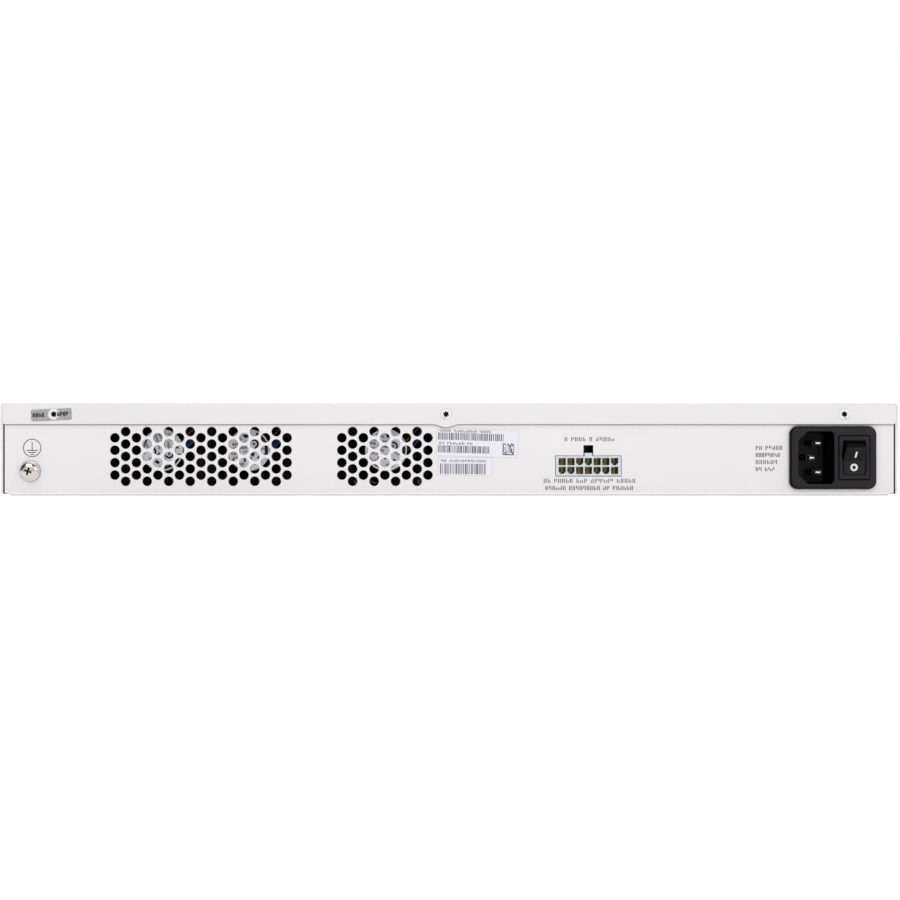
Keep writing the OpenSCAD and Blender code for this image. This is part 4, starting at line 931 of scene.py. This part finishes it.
def asset_print():
    shape = Shape()
    barcode(shape, -18.9, 1.1, 31.4, 3.4)
    barcode(shape, -18.9, -5.0, 24.6, 3.4)
    label_line(shape, -18.5, 4.8, 25.0, (4, 8, 4))
    label_line(shape, -18.5, -1.2, 16.4, (2, 6, 2))
    for i in range(CODE_SIDE):
        for j in range(CODE_SIDE):
            if i == 0 or j == 0 or pick.random() < 0.55:
                cell = bar(12.4 + CODE_CELL*i, -5.2 + CODE_CELL*j, CODE_CELL, CODE_CELL)
                shape.prism(cell, LABEL_LOW, LABEL_HIGH)
    return shape.mesh()


def serial_print():
    shape = Shape()
    barcode(shape, -12.0, -3.7, 21.6, 5.0)
    return label_line(shape, -11.8, 2.0, 22.0, (2, 12)).mesh()


def seal_print():
    """Plain strokes either side of the screw."""
    shape = label_line(Shape(), -9.0, -0.9, 5.8, (4,), 2.0, 0.52)
    return label_line(shape, 2.9, -0.8, 5.4, (4,), 2.0, 0.52).mesh()


seal_y = box_mm("seal_label")[0].y   # the lip's outer face, which the seal is stuck to
for name, drawing, y, slant, look in (
        ("asset", asset_print, panel_y, -1.6, "label_ink"),
        ("serial", serial_print, panel_y, -0.6, "label_ink"),
        ("seal", seal_print, seal_y, 2.6, "dark_ink")):
    x, z = middle_mm(f"{name}_label")
    piece(f"{name}_print", [(drawing(), facing("rear", x, y, z, slant))], look)


def fan_print():
    """Generic print on a fan's label: part rings, wedges and rows of strokes."""
    low, high = -0.01, 0.03
    shape = Shape()
    shape.ring(0, 0, 9.5, 7.9, low, high, -30, 58)
    shape.ring(2.9, 2.6, 2.4, 1.4, low, high, -90, 120)
    shape.ring(2.9, 2.6, 0.75, 0.25, low, high)
    shape.ring(-1.0, -4.9, 2.2, 1.2, low, high, 10, 200)
    shape.ring(0, 0, 9.4, 8.6, low, high, 200, 262)
    shape.prism([(-2.2, 7.7), (2.2, 7.9), (1.4, 6.3), (-1.0, 5.9)], low, high)
    shape.prism([(0.2, -1.7), (3.1, -1.5), (1.6, -3.8)], low, high)
    shape.prism([(3.4, -4.2), (5.2, -3.0), (6.0, -4.0), (4.4, -5.6)], low, high)
    for left, base, width, words in (
            (-6.6, 5.2, 4.4, (3,)), (-7.8, 3.0, 8.4, (4, 3)), (-8.6, 0.8, 9.2, (3, 5)),
            (-8.8, -1.4, 8.2, (4, 2)), (-8.2, -3.6, 5.0, (4,)), (-6.6, -7.0, 3.6, (3,)),
            (1.6, -7.6, 3.6, (3,)), (4.4, -1.2, 3.6, (3,))):
        greeked(shape, left, base, width, words, 1.45, 0.34, low, high)
    return shape.mesh()


label_y = box_mm("fan_labels")[1].y
for number, (x, z, back, front), turn in zip("123", fan_middles, (-70, 8, -14)):
    piece(f"fan_{number}_print", [(fan_print(), facing("rear", x, label_y, z, turn))], "dark_ink")


def number_mesh(number, height):
    """A port number, flat on its drawing and centred on it."""
    words = bpy.data.curves.new("number", "FONT")
    words.body = str(number)
    words.size = height*1.38
    words.align_x = "CENTER"
    words.align_y = "CENTER"
    words.extrude = 0.025
    holder = bpy.data.objects.new("number", words)
    bpy.context.scene.collection.objects.link(holder)
    bpy.context.view_layer.update()
    made = bpy.data.meshes.new_from_object(holder.evaluated_get(bpy.context.evaluated_depsgraph_get()))
    bpy.data.objects.remove(holder)
    return made


NUMBER_HEIGHT = 1.9
BLOCK_XS, PORT_PITCH = (-56, 43), 14      # middles of the two blocks of ports, and their columns' pitch
COLUMNS, ROW_ZS = 6, (38.0, 6.2)          # numbers stand above the upper row and below the lower one
BAYS, BAY_PITCH, BAY_Z = 4, 14.25, 22.0
front_y = box_mm("front_panel")[0].y
cage_x = middle_mm("sfp_cage")[0]
places = [(x + (column - (COLUMNS - 1)/2)*PORT_PITCH, z)
          for x in BLOCK_XS for column in range(COLUMNS) for z in ROW_ZS]
places += [(cage_x + (bay - (BAYS - 1)/2)*BAY_PITCH, BAY_Z) for bay in range(BAYS)]
piece("port_numbers", [(number_mesh(number, NUMBER_HEIGHT), facing("front", x, front_y, z))
                       for number, (x, z) in enumerate(places, 1)], "dark_ink")


# ---- stage, light and camera

FLOOR_SEEN, FLOOR_LIT = 0.6, 0.12   # the floor's glow to the camera, and what it adds to the room
FLOOR_HALF, FLOOR_Z = 14.0, -0.2*MM


def material_of_floor():
    """Pale matt floor; it can't be seen from below, so that the underside can."""
    s = Shader("pale_floor")
    cloud = s.noise(6, 3)
    s.done(color=s.blend(cloud, (0.86, 0.86, 0.86), (0.89, 0.89, 0.89)), rough=0.7, spec=0.1,
           glow=(1.0, 1.0, 1.0),
           glow_strength=s.span(s.node("ShaderNodeLightPath", 0), 0, 1, FLOOR_LIT, FLOOR_SEEN))
    clear = s.tree.nodes.new("ShaderNodeBsdfTransparent")
    by_side = s.tree.nodes.new("ShaderNodeMixShader")
    s.put(by_side.inputs[0], s.node("ShaderNodeNewGeometry", 6))
    s.tree.links.new(s.surface.outputs[0], by_side.inputs[1])
    s.tree.links.new(clear.outputs[0], by_side.inputs[2])
    s.tree.links.new(by_side.outputs[0], s.tree.nodes["Material Output"].inputs["Surface"])
    return s.material


floor_mesh = bpy.data.meshes.new("floor")
floor_mesh.from_pydata([(x*FLOOR_HALF, y*FLOOR_HALF, FLOOR_Z)
                        for x, y in ((-1, -1), (1, -1), (1, 1), (-1, 1))], [], [(0, 1, 2, 3)])
floor = bpy.data.objects.new("floor", floor_mesh)
bpy.context.scene.collection.objects.link(floor)
floor.data.materials.append(material_of_floor())
floor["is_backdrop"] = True

# World: white to the camera, an even glow on matt surfaces, and a studio with darker sides in reflections
world = bpy.data.worlds.new("studio")
bpy.context.scene.world = world
world.use_nodes = True
tree = world.node_tree
tree.nodes.clear()


def world_node(kind, links=None, **settings):
    made = tree.nodes.new(kind)
    for key, value in settings.items():
        setattr(made, key, value)
    for key, value in (links or {}).items():
        if isinstance(value, bpy.types.NodeSocket):
            tree.links.new(value, made.inputs[key])
        else:
            made.inputs[key].default_value = value
    return made


direction = world_node("ShaderNodeTexCoord").outputs["Generated"]
height = world_node("ShaderNodeSeparateXYZ", {0: direction}).outputs["Z"]
ramp = world_node("ShaderNodeValToRGB", {0: world_node(
    "ShaderNodeMapRange", {"Value": height, "From Min": -1.0, "From Max": 1.0}).outputs[0]})
ramp.color_ramp.elements[0].color = (0.6, 0.58, 0.57, 1)
ramp.color_ramp.elements[1].position = 1.0
ramp.color_ramp.elements[1].color = (0.1, 0.1, 0.1, 1)
for place, grey in ((0.4, 0.7), (0.5, 0.42), (0.56, 0.7), (0.72, 0.95), (0.8, 0.3), (0.88, 0.06)):
    stop = ramp.color_ramp.elements.new(place)
    stop.color = (grey, grey, grey, 1)
FLAGS = (  # dark panels seen only in reflections: direction, and how far out they start and end
    ((0.74, 0.2, 0.64), 0.72, 0.86), ((-0.5, 0.25, 0.83), 0.93, 0.97))
strength = 1.0
for aim, fringe, full in FLAGS:
    towards = world_node("ShaderNodeVectorMath", {0: direction, 1: aim}, operation="DOT_PRODUCT")
    unshaded = world_node("ShaderNodeMapRange", {
        "Value": towards.outputs["Value"], "From Min": fringe, "From Max": full, "To Min": 1.0,
        "To Max": 0.05}).outputs[0]
    strength = world_node("ShaderNodeMath", {0: unshaded, 1: strength}, operation="MULTIPLY").outputs[0]
DIFFUSE_LEVEL = 0.62
studio = world_node("ShaderNodeBackground", {"Color": ramp.outputs[0], "Strength": strength})
even = world_node("ShaderNodeBackground", {"Color": (1, 1, 1, 1), "Strength": DIFFUSE_LEVEL})
white = world_node("ShaderNodeBackground", {"Color": (1, 1, 1, 1), "Strength": 1.0})
path = world_node("ShaderNodeLightPath").outputs
shiny = world_node("ShaderNodeMixShader", {
    0: path["Is Glossy Ray"], 1: even.outputs[0], 2: studio.outputs[0]})
seen = world_node("ShaderNodeMixShader", {
    0: path["Is Camera Ray"], 1: shiny.outputs[0], 2: white.outputs[0]})
world_node("ShaderNodeOutputWorld", {"Surface": seen.outputs[0]})


def soft_light(name, place, target, size, power):
    lamp = bpy.data.lights.new(name, "AREA")
    lamp.shape = "RECTANGLE"
    lamp.size, lamp.size_y = size
    lamp.energy = power
    thing = bpy.data.objects.new(name, lamp)
    thing.location = place
    thing.rotation_mode = "QUATERNION"
    thing.rotation_quaternion = (Vector(target) - Vector(place)).to_track_quat("-Z", "Y")
    thing.visible_camera = False
    bpy.context.scene.collection.objects.link(thing)


middle = (cad_low + cad_high)/2
soft_light("rear_key", (0.7, 1.5, 1.3), middle, (1.2, 0.9), 8)
soft_light("rear_fill", (-1.0, 1.3, 0.7), middle, (0.8, 1.0), 4)
soft_light("front_key", (-0.7, -1.5, 1.3), middle, (1.2, 0.9), 8)
soft_light("front_fill", (1.0, -1.3, 0.7), middle, (0.8, 1.0), 4)
soft_light("top", (0, 0, 1.9), middle, (1.4, 1.4), 7)

scene = bpy.context.scene
scene.view_settings.view_transform = "Standard"
scene.view_settings.look = "None"
scene.view_settings.exposure = 0.0
scene.view_settings.gamma = 1.0

# The camera looks square on at the rear panel, level with the middle of the panel
PICTURE_WIDTH = 0.4325
CAMERA_DISTANCE = 0.56
CAMERA_X, CAMERA_Z = -0.4*MM, 22*MM
camera_data = bpy.data.cameras.new("camera")
camera_data.sensor_width = 36.0
camera_data.lens = camera_data.sensor_width*CAMERA_DISTANCE/PICTURE_WIDTH
camera_data.clip_start = 0.01
camera_data.clip_end = 60
camera = bpy.data.objects.new("camera", camera_data)
camera.location = (CAMERA_X, rear_face + CAMERA_DISTANCE, CAMERA_Z)
camera.rotation_euler = (math.radians(90), 0, math.radians(180))
scene.collection.objects.link(camera)
scene.camera = camera

bpy.context.view_layer.update()
low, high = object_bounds()
